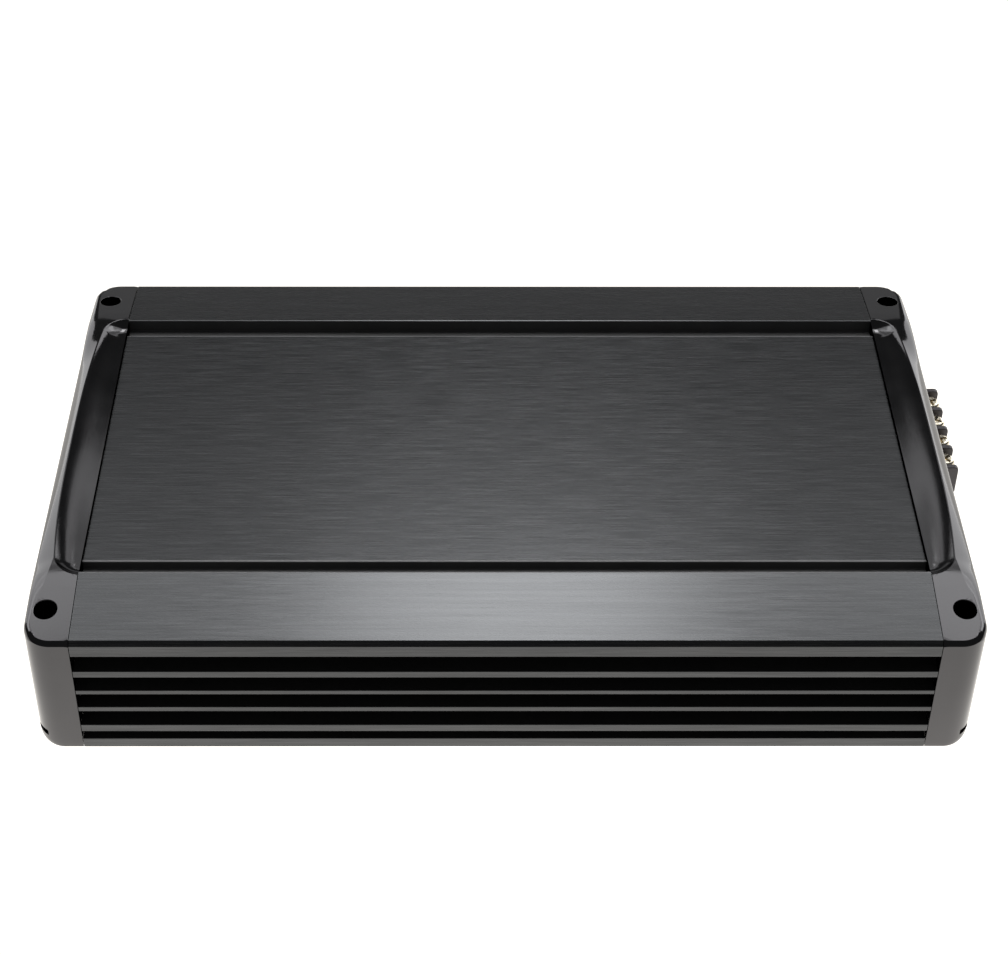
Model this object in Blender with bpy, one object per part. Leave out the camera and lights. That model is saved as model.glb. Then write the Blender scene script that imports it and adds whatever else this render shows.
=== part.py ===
"""Four-channel car amplifier.

A finned aluminium extrusion closed by a steel bottom plate and two end caps. Each cap frames a steel
end plate with the connectors. Metres, +Z up, +X towards the power terminals, -Y towards the front.
The origin is the middle of the underside.
"""

import math

import bmesh
import bpy

# ---------------------------------------------------------------- driving dimensions
GAP = 0.0003                    # clearance between touching pieces

BODY_LENGTH = 0.2400            # extrusion, along X
OVERALL_LENGTH = 0.2668         # over both end caps
DEPTH = 0.1690
CORNER_RADIUS = 0.0080          # outer vertical corners, in plan

PANEL_Z = 0.04356               # centre panel of the top
PANEL_HALF = 0.0535
GROOVE_Z = 0.0410
RAIL_INNER = 0.0593             # the rails beside the panel stand proud of it and slope outwards
RAIL_INNER_Z = 0.0453
RAIL_OUTER = 0.0833
RAIL_OUTER_Z = 0.0416
CHAMFER_Z = 0.0403              # foot of the chamfer, top of the upright face

SLOT_DEPTH = 0.0090             # long slots between the fins of the front and back faces
SLOTS = (                       # low z, high z, depth
    (0.0037, 0.0066, 0.0045),
    (0.0093, 0.0148, SLOT_DEPTH),
    (0.0166, 0.0216, SLOT_DEPTH),
    (0.0232, 0.0283, SLOT_DEPTH),
    (0.0307, 0.0364, SLOT_DEPTH),
)
WALL_INNER = 0.0725             # inner face of the side walls
CEILING_Z = 0.0392

PORT_Y = 0.0618                 # screw ports along the extrusion
PORT_LOW_Z = 0.0082
PORT_HIGH_Z = 0.0322
PORT_RADIUS = 0.0034
SCREW_HOLE_RADIUS = 0.00175
SCREW_SHANK_RADIUS = 0.00145
FLANGE_LOW_Z = 0.0018           # ledge that the bottom plate is screwed to
FLANGE_HIGH_Z = 0.0052

BOTTOM_THICKNESS = 0.0015
BOTTOM_SCREW_X = 0.1050
BOTTOM_SCREW_Y = 0.0680

MOUNT_HOLE_X = 0.1277           # vertical holes through the corners of the end caps
MOUNT_HOLE_Y = 0.0727
MOUNT_HOLE_RADIUS = 0.0033

CAP_FLANGE_X = 0.1261           # the cap's inner flange ends here and the end plate lies on it
POCKET_HALF = 0.0660
POCKET_LOW_Z = 0.0042
POCKET_HIGH_Z = 0.0358
WINDOW_HALF = 0.0575
WINDOW_LOW_Z = 0.0057
WINDOW_HIGH_Z = 0.0343
SCOOP_OUTER_X = 0.1300          # hollow along the top of each cap
SCOOP_FLOOR_Z = 0.0410
SCOOP_HALF = 0.0605
RIDGE_CHAMFER = 0.0016

PLATE_THICKNESS = 0.0012
PLATE_INNER_X = CAP_FLANGE_X + GAP
PLATE_OUTER_X = PLATE_INNER_X + PLATE_THICKNESS

BOARD_LOW_Z = 0.0120
BOARD_THICKNESS = 0.0016
BOARD_HALF_X = 0.1185
PARTS_Z = BOARD_LOW_Z + BOARD_THICKNESS + GAP      # underside of what stands on the board

TERMINAL_Y = 0.0305             # middle of the four-way power terminal
TERMINAL_PITCH = 0.0096
TERMINAL_WAYS = 4
DIVIDER_THICKNESS = 0.0018
TERMINAL_TIP_X = 0.1432
TERMINAL_TOP_Z = 0.0243
TERMINAL_DECK_Z = 0.0184
TERMINAL_SCREW_X = 0.1399
TERMINAL_HEAD_RADIUS = 0.0031
TERMINAL_HEAD_TOP_Z = 0.0235

FUSE_Y = -0.0080
FUSE_ROWS_Z = (0.0189, 0.0268)
FUSE_WIDTH = 0.0191
FUSE_THICKNESS = 0.0051

SOCKET_Y = -0.0410
SOCKET_WIDTH = 0.0300
SOCKET_HEIGHT = 0.0150

JACK_YS = (0.0510, 0.0385, 0.0260, 0.0135)
JACK_Z = 0.0205
JACK_RADIUS = 0.00415
KNOB_YS = (-0.0110, -0.0215, -0.0440, -0.0535)
KNOB_Z = 0.0195
KNOB_RADIUS = 0.0037
KNOB_SHAFT_RADIUS = 0.0015
SWITCH_YS = (0.0010, -0.0330)
SWITCH_Z = 0.0182
LED_Z = 0.0290
LED_RADIUS = 0.0015

TRANSISTOR_XS = (-0.0620, 0.0000, 0.0620)

COLOURS = {                     # colour, metallic, roughness
    "black_anodised": ((0.022, 0.022, 0.024), 0.85, 0.38),
    "black_casting": ((0.018, 0.018, 0.020), 0.30, 0.32),
    "black_steel": ((0.030, 0.030, 0.032), 0.40, 0.55),
    "nickel": ((0.78, 0.74, 0.66), 1.0, 0.22),
    "zinc_screw": ((0.045, 0.045, 0.048), 0.90, 0.35),
    "terminal_plastic": ((0.060, 0.055, 0.062), 0.0, 0.55),
    "black_plastic": ((0.020, 0.020, 0.021), 0.0, 0.50),
    "board_green": ((0.020, 0.130, 0.060), 0.0, 0.45),
    "copper_winding": ((0.420, 0.130, 0.040), 0.60, 0.35),
    "core_grey": ((0.110, 0.120, 0.110), 0.0, 0.60),
    "capacitor_sleeve": ((0.020, 0.035, 0.090), 0.0, 0.40),
    "fuse_red": ((0.600, 0.040, 0.030), 0.0, 0.30),
    "fuse_blue": ((0.030, 0.130, 0.600), 0.0, 0.30),
    "led_green": ((0.080, 0.500, 0.120), 0.0, 0.20),
    "led_red": ((0.600, 0.050, 0.040), 0.0, 0.20),
}


# ---------------------------------------------------------------- building blocks
def material(name):
    """The material of this name, made once."""
    if name in bpy.data.materials:
        return bpy.data.materials[name]
    colour, metallic, roughness = COLOURS[name]
    made = bpy.data.materials.new(name)
    made.use_nodes = True
    shader = made.node_tree.nodes["Principled BSDF"]
    shader.inputs["Base Color"].default_value = (*colour, 1.0)
    shader.inputs["Metallic"].default_value = metallic
    shader.inputs["Roughness"].default_value = roughness
    return made


def finish(name, bm, finish_name, origin=(0.0, 0.0, 0.0)):
    """Turn world-space mesh data into an object whose origin is at the given point."""
    bmesh.ops.translate(bm, verts=bm.verts, vec=[-c for c in origin])
    bmesh.ops.recalc_face_normals(bm, faces=bm.faces)
    mesh = bpy.data.meshes.new(name)
    bm.to_mesh(mesh)
    bm.free()
    made = bpy.data.objects.new(name, mesh)
    made.location = origin
    bpy.context.scene.collection.objects.link(made)
    mesh.materials.append(material(finish_name))
    mesh.shade_smooth()
    mesh.set_sharp_from_angle(angle=math.radians(35))
    return made


def extruded(bm, outline, axis, low, high):
    """Extrude a closed outline along an axis. The outline lies in the other two axes, in X, Y, Z order."""
    def corner(u, v, w):
        return {"x": (w, u, v), "y": (u, w, v), "z": (u, v, w)}[axis]

    base = [bm.verts.new(corner(u, v, low)) for u, v in outline]
    face = bm.faces.new(base)
    grown = bmesh.ops.extrude_face_region(bm, geom=[face])
    verts = [g for g in grown["geom"] if isinstance(g, bmesh.types.BMVert)]
    step = corner(0.0, 0.0, high - low)
    bmesh.ops.translate(bm, verts=verts, vec=step)


def box(bm, low, high):
    """A block between two corners."""
    outline = [(low[0], low[1]), (high[0], low[1]), (high[0], high[1]), (low[0], high[1])]
    extruded(bm, outline, "z", low[2], high[2])


def circle(cu, cv, radius, segments=16):
    """Points of a circle, half a step off the axes."""
    points = []
    for i in range(segments):
        angle = (i + 0.5) * math.tau / segments
        points.append((cu + radius * math.cos(angle), cv + radius * math.sin(angle)))
    return points


def arc(cu, cv, radius, start, end, steps):
    """Points of an arc between two angles in degrees, both ends included."""
    points = []
    for i in range(steps + 1):
        angle = math.radians(start + (end - start) * i / steps)
        points.append((cu + radius * math.cos(angle), cv + radius * math.sin(angle)))
    return points


def rounded_rectangle(lu, lv, hu, hv, radius, steps=3):
    """A rectangle with round corners."""
    points = arc(hu - radius, hv - radius, radius, 0, 90, steps)
    points += arc(lu + radius, hv - radius, radius, 90, 180, steps)
    points += arc(lu + radius, lv + radius, radius, 180, 270, steps)
    points += arc(hu - radius, lv + radius, radius, 270, 360, steps)
    return points


def turned(bm, profile, axis, centre, segments=16):
    """Turn (along, radius) pairs about an axis. A radius of 0 at each end closes the shape."""
    def place(along, radius, angle):
        u, v = radius * math.cos(angle), radius * math.sin(angle)
        x, y, z = {"x": (along, u, v), "z": (u, v, along)}[axis]
        return (centre[0] + x, centre[1] + y, centre[2] + z)

    rings = []
    for along, radius in profile:
        if radius == 0:
            rings.append([bm.verts.new(place(along, 0, 0))])
        else:
            angles = [(i + 0.5) * math.tau / segments for i in range(segments)]
            rings.append([bm.verts.new(place(along, radius, a)) for a in angles])
    for low, high in zip(rings, rings[1:]):
        for i in range(segments):
            j = (i + 1) % segments
            corners = [low[i % len(low)], low[j % len(low)], high[j % len(high)], high[i % len(high)]]
            bm.faces.new(list(dict.fromkeys(corners)))


def helper(name, bm):
    """A shape used only by a Boolean."""
    bmesh.ops.recalc_face_normals(bm, faces=bm.faces)
    mesh = bpy.data.meshes.new(name)
    bm.to_mesh(mesh)
    bm.free()
    made = bpy.data.objects.new(name, mesh)
    made.hide_render = True
    made.display_type = "WIRE"
    bpy.context.scene.collection.objects.link(made)
    return made


def boolean(target, operation, bm):
    """Cut, join or intersect the target with world-space mesh data."""
    label = f"{target.name}_{operation.lower()}_{len(target.modifiers)}"
    modifier = target.modifiers.new(label, "BOOLEAN")
    modifier.operation = operation
    modifier.solver = "EXACT"
    modifier.object = helper(label, bm)


def mirrored(outline):
    """The full symmetric outline of a half that runs from its first to its last point."""
    return outline + [(-u, v) for u, v in reversed(outline)]


# ---------------------------------------------------------------- housing
def heatsink_outline():
    """Section of the extrusion in Y and Z: an inverted U with fins outside and screw ports inside."""
    face = -DEPTH / 2
    outside = [(-WALL_INNER, 0.0), (face, 0.0)]
    for low, high, depth in SLOTS:
        outside += [(face, low), (face + depth, low), (face + depth, high), (face, high)]
    outside += [
        (face, CHAMFER_Z),
        (-RAIL_OUTER, RAIL_OUTER_Z),
        (-RAIL_INNER, RAIL_INNER_Z),
        (-RAIL_INNER, GROOVE_Z),
        (-PANEL_HALF, GROOVE_Z),
        (-PANEL_HALF, PANEL_Z),
    ]
    inside = [(-WALL_INNER, FLANGE_LOW_Z), (-PORT_Y + PORT_RADIUS, FLANGE_LOW_Z)]
    inside += arc(-PORT_Y, PORT_LOW_Z, PORT_RADIUS, 0, 180, 6)
    inside += [
        (-PORT_Y - PORT_RADIUS, FLANGE_HIGH_Z),
        (-WALL_INNER, FLANGE_HIGH_Z),
        (-WALL_INNER, CEILING_Z),
        (-PORT_Y - PORT_RADIUS, CEILING_Z),
    ]
    inside += arc(-PORT_Y, PORT_HIGH_Z, PORT_RADIUS, 180, 360, 6)
    inside += [(-PORT_Y + PORT_RADIUS, CEILING_Z)]
    return mirrored(outside) + mirrored(inside)[::-1]


def make_heatsink():
    bm = bmesh.new()
    extruded(bm, heatsink_outline(), "x", -BODY_LENGTH / 2, BODY_LENGTH / 2)
    heatsink = finish("heatsink", bm, "black_anodised")
    holes = bmesh.new()
    reach = BODY_LENGTH / 2 + 0.002
    for y, z in screw_positions():
        extruded(holes, circle(y, z, SCREW_HOLE_RADIUS, 12), "x", -reach, reach)
    for x, y in bottom_screw_positions():
        outline = circle(x, y, SCREW_HOLE_RADIUS, 12)
        extruded(holes, outline, "z", FLANGE_LOW_Z - 0.001, FLANGE_HIGH_Z + 0.001)
    boolean(heatsink, "DIFFERENCE", holes)


def screw_positions():
    """Y and Z of the screws that clamp an end plate and its cap to the extrusion."""
    return [(side * PORT_Y, z) for side in (-1, 1) for z in (PORT_LOW_Z, PORT_HIGH_Z)]


def bottom_screw_positions():
    """X and Y of the bottom plate's screws."""
    return [(a * BOTTOM_SCREW_X, b * BOTTOM_SCREW_Y) for a in (-1, 1) for b in (-1, 1)]


def make_bottom_plate():
    bm = bmesh.new()
    half_x = BODY_LENGTH / 2
    half_y = WALL_INNER - GAP
    box(bm, (-half_x, -half_y, 0.0), (half_x, half_y, BOTTOM_THICKNESS))
    plate = finish("bottom_plate", bm, "black_steel")
    holes = bmesh.new()
    for x, y in bottom_screw_positions():
        profile = [(-0.0005, 0), (-0.0005, 0.0036), (0.0013, 0.0018), (0.0025, 0.0018), (0.0025, 0)]
        turned(holes, profile, "z", (x, y, 0.0), 16)
    boolean(plate, "DIFFERENCE", holes)
    for i, (x, y) in enumerate(bottom_screw_positions(), 1):
        screw = bmesh.new()
        profile = [
            (0.0001, 0),
            (0.0001, 0.0027),
            (0.0013, SCREW_SHANK_RADIUS),
            (0.0082, SCREW_SHANK_RADIUS),
            (0.0090, 0.0008),
            (0.0090, 0),
        ]
        turned(screw, profile, "z", (x, y, 0.0), 12)
        finish(f"bottom_screw_{i}", screw, "zinc_screw", (x, y, 0.0))


def side_name(side):
    return "right" if side > 0 else "left"


def make_end_cap(side):
    """Cast end frame: sloped corners with the mounting holes, a hollow along the top, a pocket outside."""
    inner = BODY_LENGTH / 2 + GAP
    outer = OVERALL_LENGTH / 2
    half = DEPTH / 2
    bm = bmesh.new()
    section = mirrored([
        (-half, 0.0),
        (-half, CHAMFER_Z),
        (-RAIL_OUTER, RAIL_OUTER_Z),
        (-RAIL_INNER, RAIL_INNER_Z),
    ])
    extruded(bm, section, "x", *sorted((side * inner, side * (outer + 0.001))))
    cap = finish(f"end_cap_{side_name(side)}", bm, "black_casting")

    plan = bmesh.new()
    edge = outer - CORNER_RADIUS
    outline = [(inner - 0.001, -half)]
    outline += arc(edge, -half + CORNER_RADIUS, CORNER_RADIUS, -90, 0, 8)
    outline += arc(edge, half - CORNER_RADIUS, CORNER_RADIUS, 0, 90, 8)
    outline += [(inner - 0.001, half)]
    extruded(plan, [(side * x, y) for x, y in outline], "z", -0.001, 0.050)
    boolean(cap, "INTERSECT", plan)

    scoop = bmesh.new()
    hollow = [
        (inner - 0.001, PANEL_Z - GAP),
        (inner + 0.0012, PANEL_Z - 0.0008),
        (inner + 0.0035, SCOOP_FLOOR_Z),
        (SCOOP_OUTER_X - 0.0030, SCOOP_FLOOR_Z + 0.0002),
        (SCOOP_OUTER_X - 0.0009, SCOOP_FLOOR_Z + 0.0018),
        (SCOOP_OUTER_X, RAIL_INNER_Z + 0.0010),
        (inner - 0.001, RAIL_INNER_Z + 0.0010),
    ]
    extruded(scoop, [(side * x, z) for x, z in hollow], "y", -SCOOP_HALF, SCOOP_HALF)
    ridge = [
        (outer - RIDGE_CHAMFER, RAIL_INNER_Z + 0.0010),
        (outer - RIDGE_CHAMFER, RAIL_INNER_Z),
        (outer, RAIL_INNER_Z - RIDGE_CHAMFER),
        (outer + 0.0010, RAIL_INNER_Z - RIDGE_CHAMFER),
        (outer + 0.0010, RAIL_INNER_Z + 0.0010),
    ]
    extruded(scoop, [(side * x, z) for x, z in ridge], "y", -half - 0.001, half + 0.001)
    boolean(cap, "DIFFERENCE", scoop)

    openings = bmesh.new()
    pocket = rounded_rectangle(-POCKET_HALF, POCKET_LOW_Z, POCKET_HALF, POCKET_HIGH_Z, 0.002)
    extruded(openings, pocket, "x", *sorted((side * CAP_FLANGE_X, side * (outer + 0.002))))
    boolean(cap, "DIFFERENCE", openings)

    window = bmesh.new()
    outline = rounded_rectangle(-WINDOW_HALF, WINDOW_LOW_Z, WINDOW_HALF, WINDOW_HIGH_Z, 0.002)
    extruded(window, outline, "x", *sorted((side * (inner - 0.002), side * (CAP_FLANGE_X + 0.001))))
    for y, z in screw_positions():
        hole = circle(y, z, SCREW_HOLE_RADIUS, 12)
        extruded(window, hole, "x", *sorted((side * (inner - 0.002), side * (CAP_FLANGE_X + 0.001))))
    for y in (-MOUNT_HOLE_Y, MOUNT_HOLE_Y):
        hole = circle(side * MOUNT_HOLE_X, y, MOUNT_HOLE_RADIUS, 20)
        extruded(window, hole, "z", -0.002, 0.050)
    boolean(cap, "DIFFERENCE", window)


def make_end_plate(side, cuts):
    """Steel plate inside the cap's pocket. cuts are closed outlines in Y and Z."""
    bm = bmesh.new()
    outline = rounded_rectangle(
        -POCKET_HALF + GAP, POCKET_LOW_Z + GAP, POCKET_HALF - GAP, POCKET_HIGH_Z - GAP, 0.002)
    extruded(bm, outline, "x", *sorted((side * PLATE_INNER_X, side * PLATE_OUTER_X)))
    plate = finish(f"end_plate_{side_name(side)}", bm, "black_steel")
    holes = bmesh.new()
    reach = sorted((side * (PLATE_INNER_X - 0.001), side * (PLATE_OUTER_X + 0.001)))
    for y, z in screw_positions():
        extruded(holes, circle(y, z, SCREW_HOLE_RADIUS, 12), "x", *reach)
    for cut in cuts:
        extruded(holes, cut, "x", *reach)
    boolean(plate, "DIFFERENCE", holes)


def make_end_screws(side):
    """Pan-head screws through the end plate and the cap's flange into the extrusion's ports."""
    seat = PLATE_OUTER_X + GAP
    for i, (y, z) in enumerate(screw_positions(), 1):
        profile = [
            (seat + 0.0020, 0),
            (seat + 0.0020, 0.0014),
            (seat + 0.0014, 0.0024),
            (seat, 0.0028),
            (seat, SCREW_SHANK_RADIUS),
            (seat - 0.0190, SCREW_SHANK_RADIUS),
            (seat - 0.0200, 0.0008),
            (seat - 0.0200, 0),
        ]
        bm = bmesh.new()
        turned(bm, [(side * along, radius) for along, radius in profile], "x", (0.0, y, z), 12)
        finish(f"end_screw_{side_name(side)}_{i}", bm, "zinc_screw", (side * seat, y, z))


# ---------------------------------------------------------------- right end: power and speakers
def terminal_gap_centres():
    """Y of each way of the power terminal, between two dividers."""
    first = TERMINAL_Y - TERMINAL_PITCH * (TERMINAL_WAYS - 1) / 2
    return [first + TERMINAL_PITCH * i for i in range(TERMINAL_WAYS)]


def terminal_ends():
    half = (TERMINAL_PITCH * TERMINAL_WAYS + DIVIDER_THICKNESS) / 2
    return TERMINAL_Y - half, TERMINAL_Y + half


def make_power_terminal():
    """Barrier strip: a deck with upright dividers, and a body that stands on the board behind them."""
    low_y, high_y = terminal_ends()
    comb = [(low_y, PARTS_Z)]
    for centre in terminal_gap_centres():
        gap_half = (TERMINAL_PITCH - DIVIDER_THICKNESS) / 2
        comb += [
            (centre - gap_half - DIVIDER_THICKNESS, TERMINAL_TOP_Z),
            (centre - gap_half, TERMINAL_TOP_Z),
            (centre - gap_half, TERMINAL_DECK_Z),
            (centre + gap_half, TERMINAL_DECK_Z),
        ]
    comb += [
        (high_y - DIVIDER_THICKNESS, TERMINAL_TOP_Z),
        (high_y, TERMINAL_TOP_Z),
        (high_y, PARTS_Z),
    ]
    bm = bmesh.new()
    extruded(bm, list(dict.fromkeys(comb)), "x", 0.1290, TERMINAL_TIP_X)
    block = finish("power_terminal", bm, "terminal_plastic")
    rear = bmesh.new()
    outline = [
        (low_y, PARTS_Z),
        (high_y, PARTS_Z),
        (high_y, TERMINAL_TOP_Z),
        (low_y, TERMINAL_TOP_Z),
    ]
    extruded(rear, outline, "x", 0.1140, 0.1295)
    boolean(block, "UNION", rear)
    holes = bmesh.new()
    for y in terminal_gap_centres():
        extruded(holes, circle(TERMINAL_SCREW_X, y, 0.0018, 12), "z", 0.0142, 0.0190)
    boolean(block, "DIFFERENCE", holes)

    top = TERMINAL_HEAD_TOP_Z
    profile = [
        (0.0146, 0),
        (0.0146, 0.0015),
        (top - 0.0030, 0.0015),
        (top - 0.0030, TERMINAL_HEAD_RADIUS + 0.0002),
        (top - 0.0022, TERMINAL_HEAD_RADIUS + 0.0002),
        (top - 0.0022, TERMINAL_HEAD_RADIUS),
        (top - 0.0006, TERMINAL_HEAD_RADIUS),
        (top, 0.0023),
        (top, 0),
    ]
    for i, y in enumerate(terminal_gap_centres(), 1):
        bm = bmesh.new()
        turned(bm, profile, "z", (TERMINAL_SCREW_X, y, 0.0), 16)
        finish(f"terminal_screw_{i}", bm, "nickel", (TERMINAL_SCREW_X, y, top))


def make_fuses():
    """Two blade fuses in one holder, pulled out along +X."""
    half = FUSE_WIDTH / 2
    bm = bmesh.new()
    low = (0.1110, FUSE_Y - half - 0.0024, PARTS_Z)
    high = (PLATE_OUTER_X + 0.0007, FUSE_Y + half + 0.0024, 0.0318)
    box(bm, low, high)
    holder = finish("fuse_holder", bm, "black_plastic")
    cavities = bmesh.new()
    blades = bmesh.new()
    for z in FUSE_ROWS_Z:
        wide, thick = half + GAP, FUSE_THICKNESS / 2 + GAP
        box(cavities, (0.1190, FUSE_Y - wide, z - thick), (0.1300, FUSE_Y + wide, z + thick))
        for y in (FUSE_Y - 0.0063, FUSE_Y + 0.0063):
            box(blades, (0.1122, y - 0.0029, z - 0.0007), (0.1200, y + 0.0029, z + 0.0007))
    boolean(holder, "DIFFERENCE", cavities)
    boolean(holder, "DIFFERENCE", blades)

    for i, (z, finish_name) in enumerate(zip(FUSE_ROWS_Z, ("fuse_red", "fuse_blue")), 1):
        body = bmesh.new()
        outline = rounded_rectangle(
            0.1194, FUSE_Y - half, 0.1316, FUSE_Y + half, 0.0012, 2)
        extruded(body, outline, "z", z - FUSE_THICKNESS / 2, z + FUSE_THICKNESS / 2)
        fuse = finish(f"fuse_{i}", body, finish_name, (0.0, FUSE_Y, z))
        prongs = bmesh.new()
        for y in (FUSE_Y - 0.0063, FUSE_Y + 0.0063):
            box(prongs, (0.1126, y - 0.0026, z - 0.0004), (0.1200, y + 0.0026, z + 0.0004))
        boolean(fuse, "UNION", prongs)


def make_speaker_socket():
    """Rectangular socket for the speaker plug."""
    low = (0.1120, SOCKET_Y - SOCKET_WIDTH / 2, PARTS_Z)
    high = (PLATE_OUTER_X + 0.0015, SOCKET_Y + SOCKET_WIDTH / 2, PARTS_Z + SOCKET_HEIGHT)
    bm = bmesh.new()
    box(bm, low, high)
    socket = finish("speaker_socket", bm, "black_plastic")
    wall = 0.0018
    cavity = bmesh.new()
    box(cavity, (0.1170, low[1] + wall, low[2] + wall), (0.1350, high[1] - wall, high[2] - wall))
    boolean(socket, "DIFFERENCE", cavity)


def right_cuts():
    """Cut-outs of the right end plate."""
    low_y, high_y = terminal_ends()
    half = FUSE_WIDTH / 2 + 0.0024 + GAP
    wide = SOCKET_WIDTH / 2 + GAP
    low_z = PARTS_Z - GAP
    return [
        rounded_rectangle(low_y - GAP, low_z, high_y + GAP, TERMINAL_TOP_Z + GAP, 0.0002, 1),
        rounded_rectangle(FUSE_Y - half, low_z, FUSE_Y + half, 0.0318 + GAP, 0.0002, 1),
        rounded_rectangle(
            SOCKET_Y - wide, low_z, SOCKET_Y + wide, PARTS_Z + SOCKET_HEIGHT + GAP, 0.0002, 1),
    ]


# ---------------------------------------------------------------- left end: inputs and controls
def make_inputs():
    """Row of signal jacks: one moulded block and a metal barrel for each jack."""
    bm = bmesh.new()
    box(bm, (-CAP_FLANGE_X, JACK_YS[-1] - 0.0060, PARTS_Z), (-0.1130, JACK_YS[0] + 0.0060, 0.0272))
    finish("jack_block", bm, "black_plastic")
    root = CAP_FLANGE_X + GAP
    profile = [
        (-root, 0),
        (-root, JACK_RADIUS),
        (-0.1350, JACK_RADIUS),
        (-0.1354, JACK_RADIUS - 0.0004),
        (-0.1354, 0.0016),
        (-0.1285, 0.0016),
        (-0.1285, 0),
    ]
    for i, y in enumerate(JACK_YS, 1):
        bm = bmesh.new()
        turned(bm, profile, "x", (0.0, y, JACK_Z), 20)
        finish(f"input_jack_{i}", bm, "nickel", (-root, y, JACK_Z))


def make_controls():
    """Level and crossover controls: a potentiometer on the board, and a knob that turns in it."""
    face = PLATE_OUTER_X + GAP
    for i, y in enumerate(KNOB_YS, 1):
        bm = bmesh.new()
        box(bm, (-0.1195, y - 0.0045, PARTS_Z), (-0.1125, y + 0.0045, KNOB_Z + 0.0052))
        pot = finish(f"potentiometer_{i}", bm, "core_grey")
        bore = bmesh.new()
        extruded(bore, circle(y, KNOB_Z, KNOB_SHAFT_RADIUS + GAP, 16), "x", -0.1200, -0.1162)
        boolean(pot, "DIFFERENCE", bore)
        profile = [
            (-0.1167, 0),
            (-0.1167, KNOB_SHAFT_RADIUS),
            (-face, KNOB_SHAFT_RADIUS),
            (-face, KNOB_RADIUS),
            (-0.1328, KNOB_RADIUS - 0.0002),
            (-0.1333, KNOB_RADIUS - 0.0007),
            (-0.1333, 0),
        ]
        knob = bmesh.new()
        turned(knob, profile, "x", (0.0, y, KNOB_Z), 16)
        body = finish(f"knob_{i}", knob, "black_plastic", (-face, y, KNOB_Z))
        mark = bmesh.new()
        box(mark, (-0.1340, y - 0.0004, KNOB_Z + 0.0002), (-0.1329, y + 0.0004, KNOB_Z + 0.0050))
        boolean(body, "DIFFERENCE", mark)


def make_switches():
    """Slide switches for the filter mode, with a nub that moves along Y."""
    for i, y in enumerate(SWITCH_YS, 1):
        bm = bmesh.new()
        box(bm, (-CAP_FLANGE_X, y - 0.0060, PARTS_Z), (-0.1170, y + 0.0060, SWITCH_Z + 0.0042))
        body = finish(f"switch_body_{i}", bm, "core_grey")
        track = bmesh.new()
        box(track, (-0.1270, y - 0.0046, SWITCH_Z - 0.0018), (-0.1230, y + 0.0046, SWITCH_Z + 0.0018))
        boolean(body, "DIFFERENCE", track)
        nub = bmesh.new()
        box(nub, (-0.1300, y - 0.0017, SWITCH_Z - 0.0014), (-0.1234, y + 0.0017, SWITCH_Z + 0.0014))
        finish(f"switch_nub_{i}", nub, "black_plastic", (-PLATE_OUTER_X, y, SWITCH_Z))


def make_lamps():
    """Power and protection lamps, each on its legs behind the end plate."""
    for y, name in zip(SWITCH_YS, ("green", "red")):
        profile = [
            (-0.1210, 0),
            (-0.1210, LED_RADIUS),
            (-0.1280, LED_RADIUS),
            (-0.1288, 0.0011),
            (-0.1290, 0),
        ]
        bm = bmesh.new()
        turned(bm, profile, "x", (0.0, y, LED_Z), 12)
        lamp = finish(f"lamp_{name}", bm, f"led_{name}", (-0.1210, y, LED_Z))
        leg = bmesh.new()
        box(leg, (-0.1216, y - 0.0009, LED_Z - 0.0006), (-0.1165, y + 0.0009, LED_Z + 0.0006))
        boolean(lamp, "UNION", leg)
        post = bmesh.new()
        box(post, (-0.1165, y - 0.0011, PARTS_Z), (-0.1157, y + 0.0011, LED_Z + 0.0008))
        boolean(lamp, "UNION", post)


def left_cuts():
    """Cut-outs of the left end plate."""
    cuts = [circle(y, JACK_Z, JACK_RADIUS + GAP, 20) for y in JACK_YS]
    cuts += [circle(y, KNOB_Z, KNOB_SHAFT_RADIUS + GAP, 16) for y in KNOB_YS]
    for y in SWITCH_YS:
        cuts += [
            rounded_rectangle(y - 0.0046, SWITCH_Z - 0.0018, y + 0.0046, SWITCH_Z + 0.0018, 0.0003, 1),
            circle(y, LED_Z, LED_RADIUS + GAP, 12),
        ]
    return cuts


# ---------------------------------------------------------------- inside
def make_board():
    bm = bmesh.new()
    half_y = WALL_INNER - GAP
    low = (-BOARD_HALF_X, -half_y, BOARD_LOW_Z)
    high = (BOARD_HALF_X, half_y, BOARD_LOW_Z + BOARD_THICKNESS)
    box(bm, low, high)
    finish("main_board", bm, "board_green")


def make_toroid(name, x, y, inner, outer, height, finish_name):
    """Wound ring standing flat on the board."""
    middle, half = (inner + outer) / 2, (outer - inner) / 2
    section = []
    for along, radius in arc(0.0, 0.0, 1.0, 0, 360, 10)[:-1]:
        section.append((PARTS_Z + height / 2 * (1 + along), middle + half * radius))
    bm = bmesh.new()
    segments = 24
    rings = []
    for i in range(segments):
        angle = math.tau * i / segments
        ring = [(x + r * math.cos(angle), y + r * math.sin(angle), z) for z, r in section]
        rings.append([bm.verts.new(point) for point in ring])
    for i in range(segments):
        here, there = rings[i], rings[(i + 1) % segments]
        for j in range(len(section)):
            k = (j + 1) % len(section)
            bm.faces.new((here[j], there[j], there[k], here[k]))
    finish(name, bm, finish_name)


def make_capacitors():
    for i, (x, y) in enumerate(((0.0800, -0.0100), (0.0800, -0.0300), (0.0560, -0.0350)), 1):
        profile = [
            (0.0, 0),
            (0.0, 0.0076),
            (0.0006, 0.0080),
            (0.0225, 0.0080),
            (0.0230, 0.0075),
            (0.0230, 0),
        ]
        bm = bmesh.new()
        turned(bm, profile, "z", (x, y, PARTS_Z), 20)
        finish(f"capacitor_{i}", bm, "capacitor_sleeve", (x, y, PARTS_Z))


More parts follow.
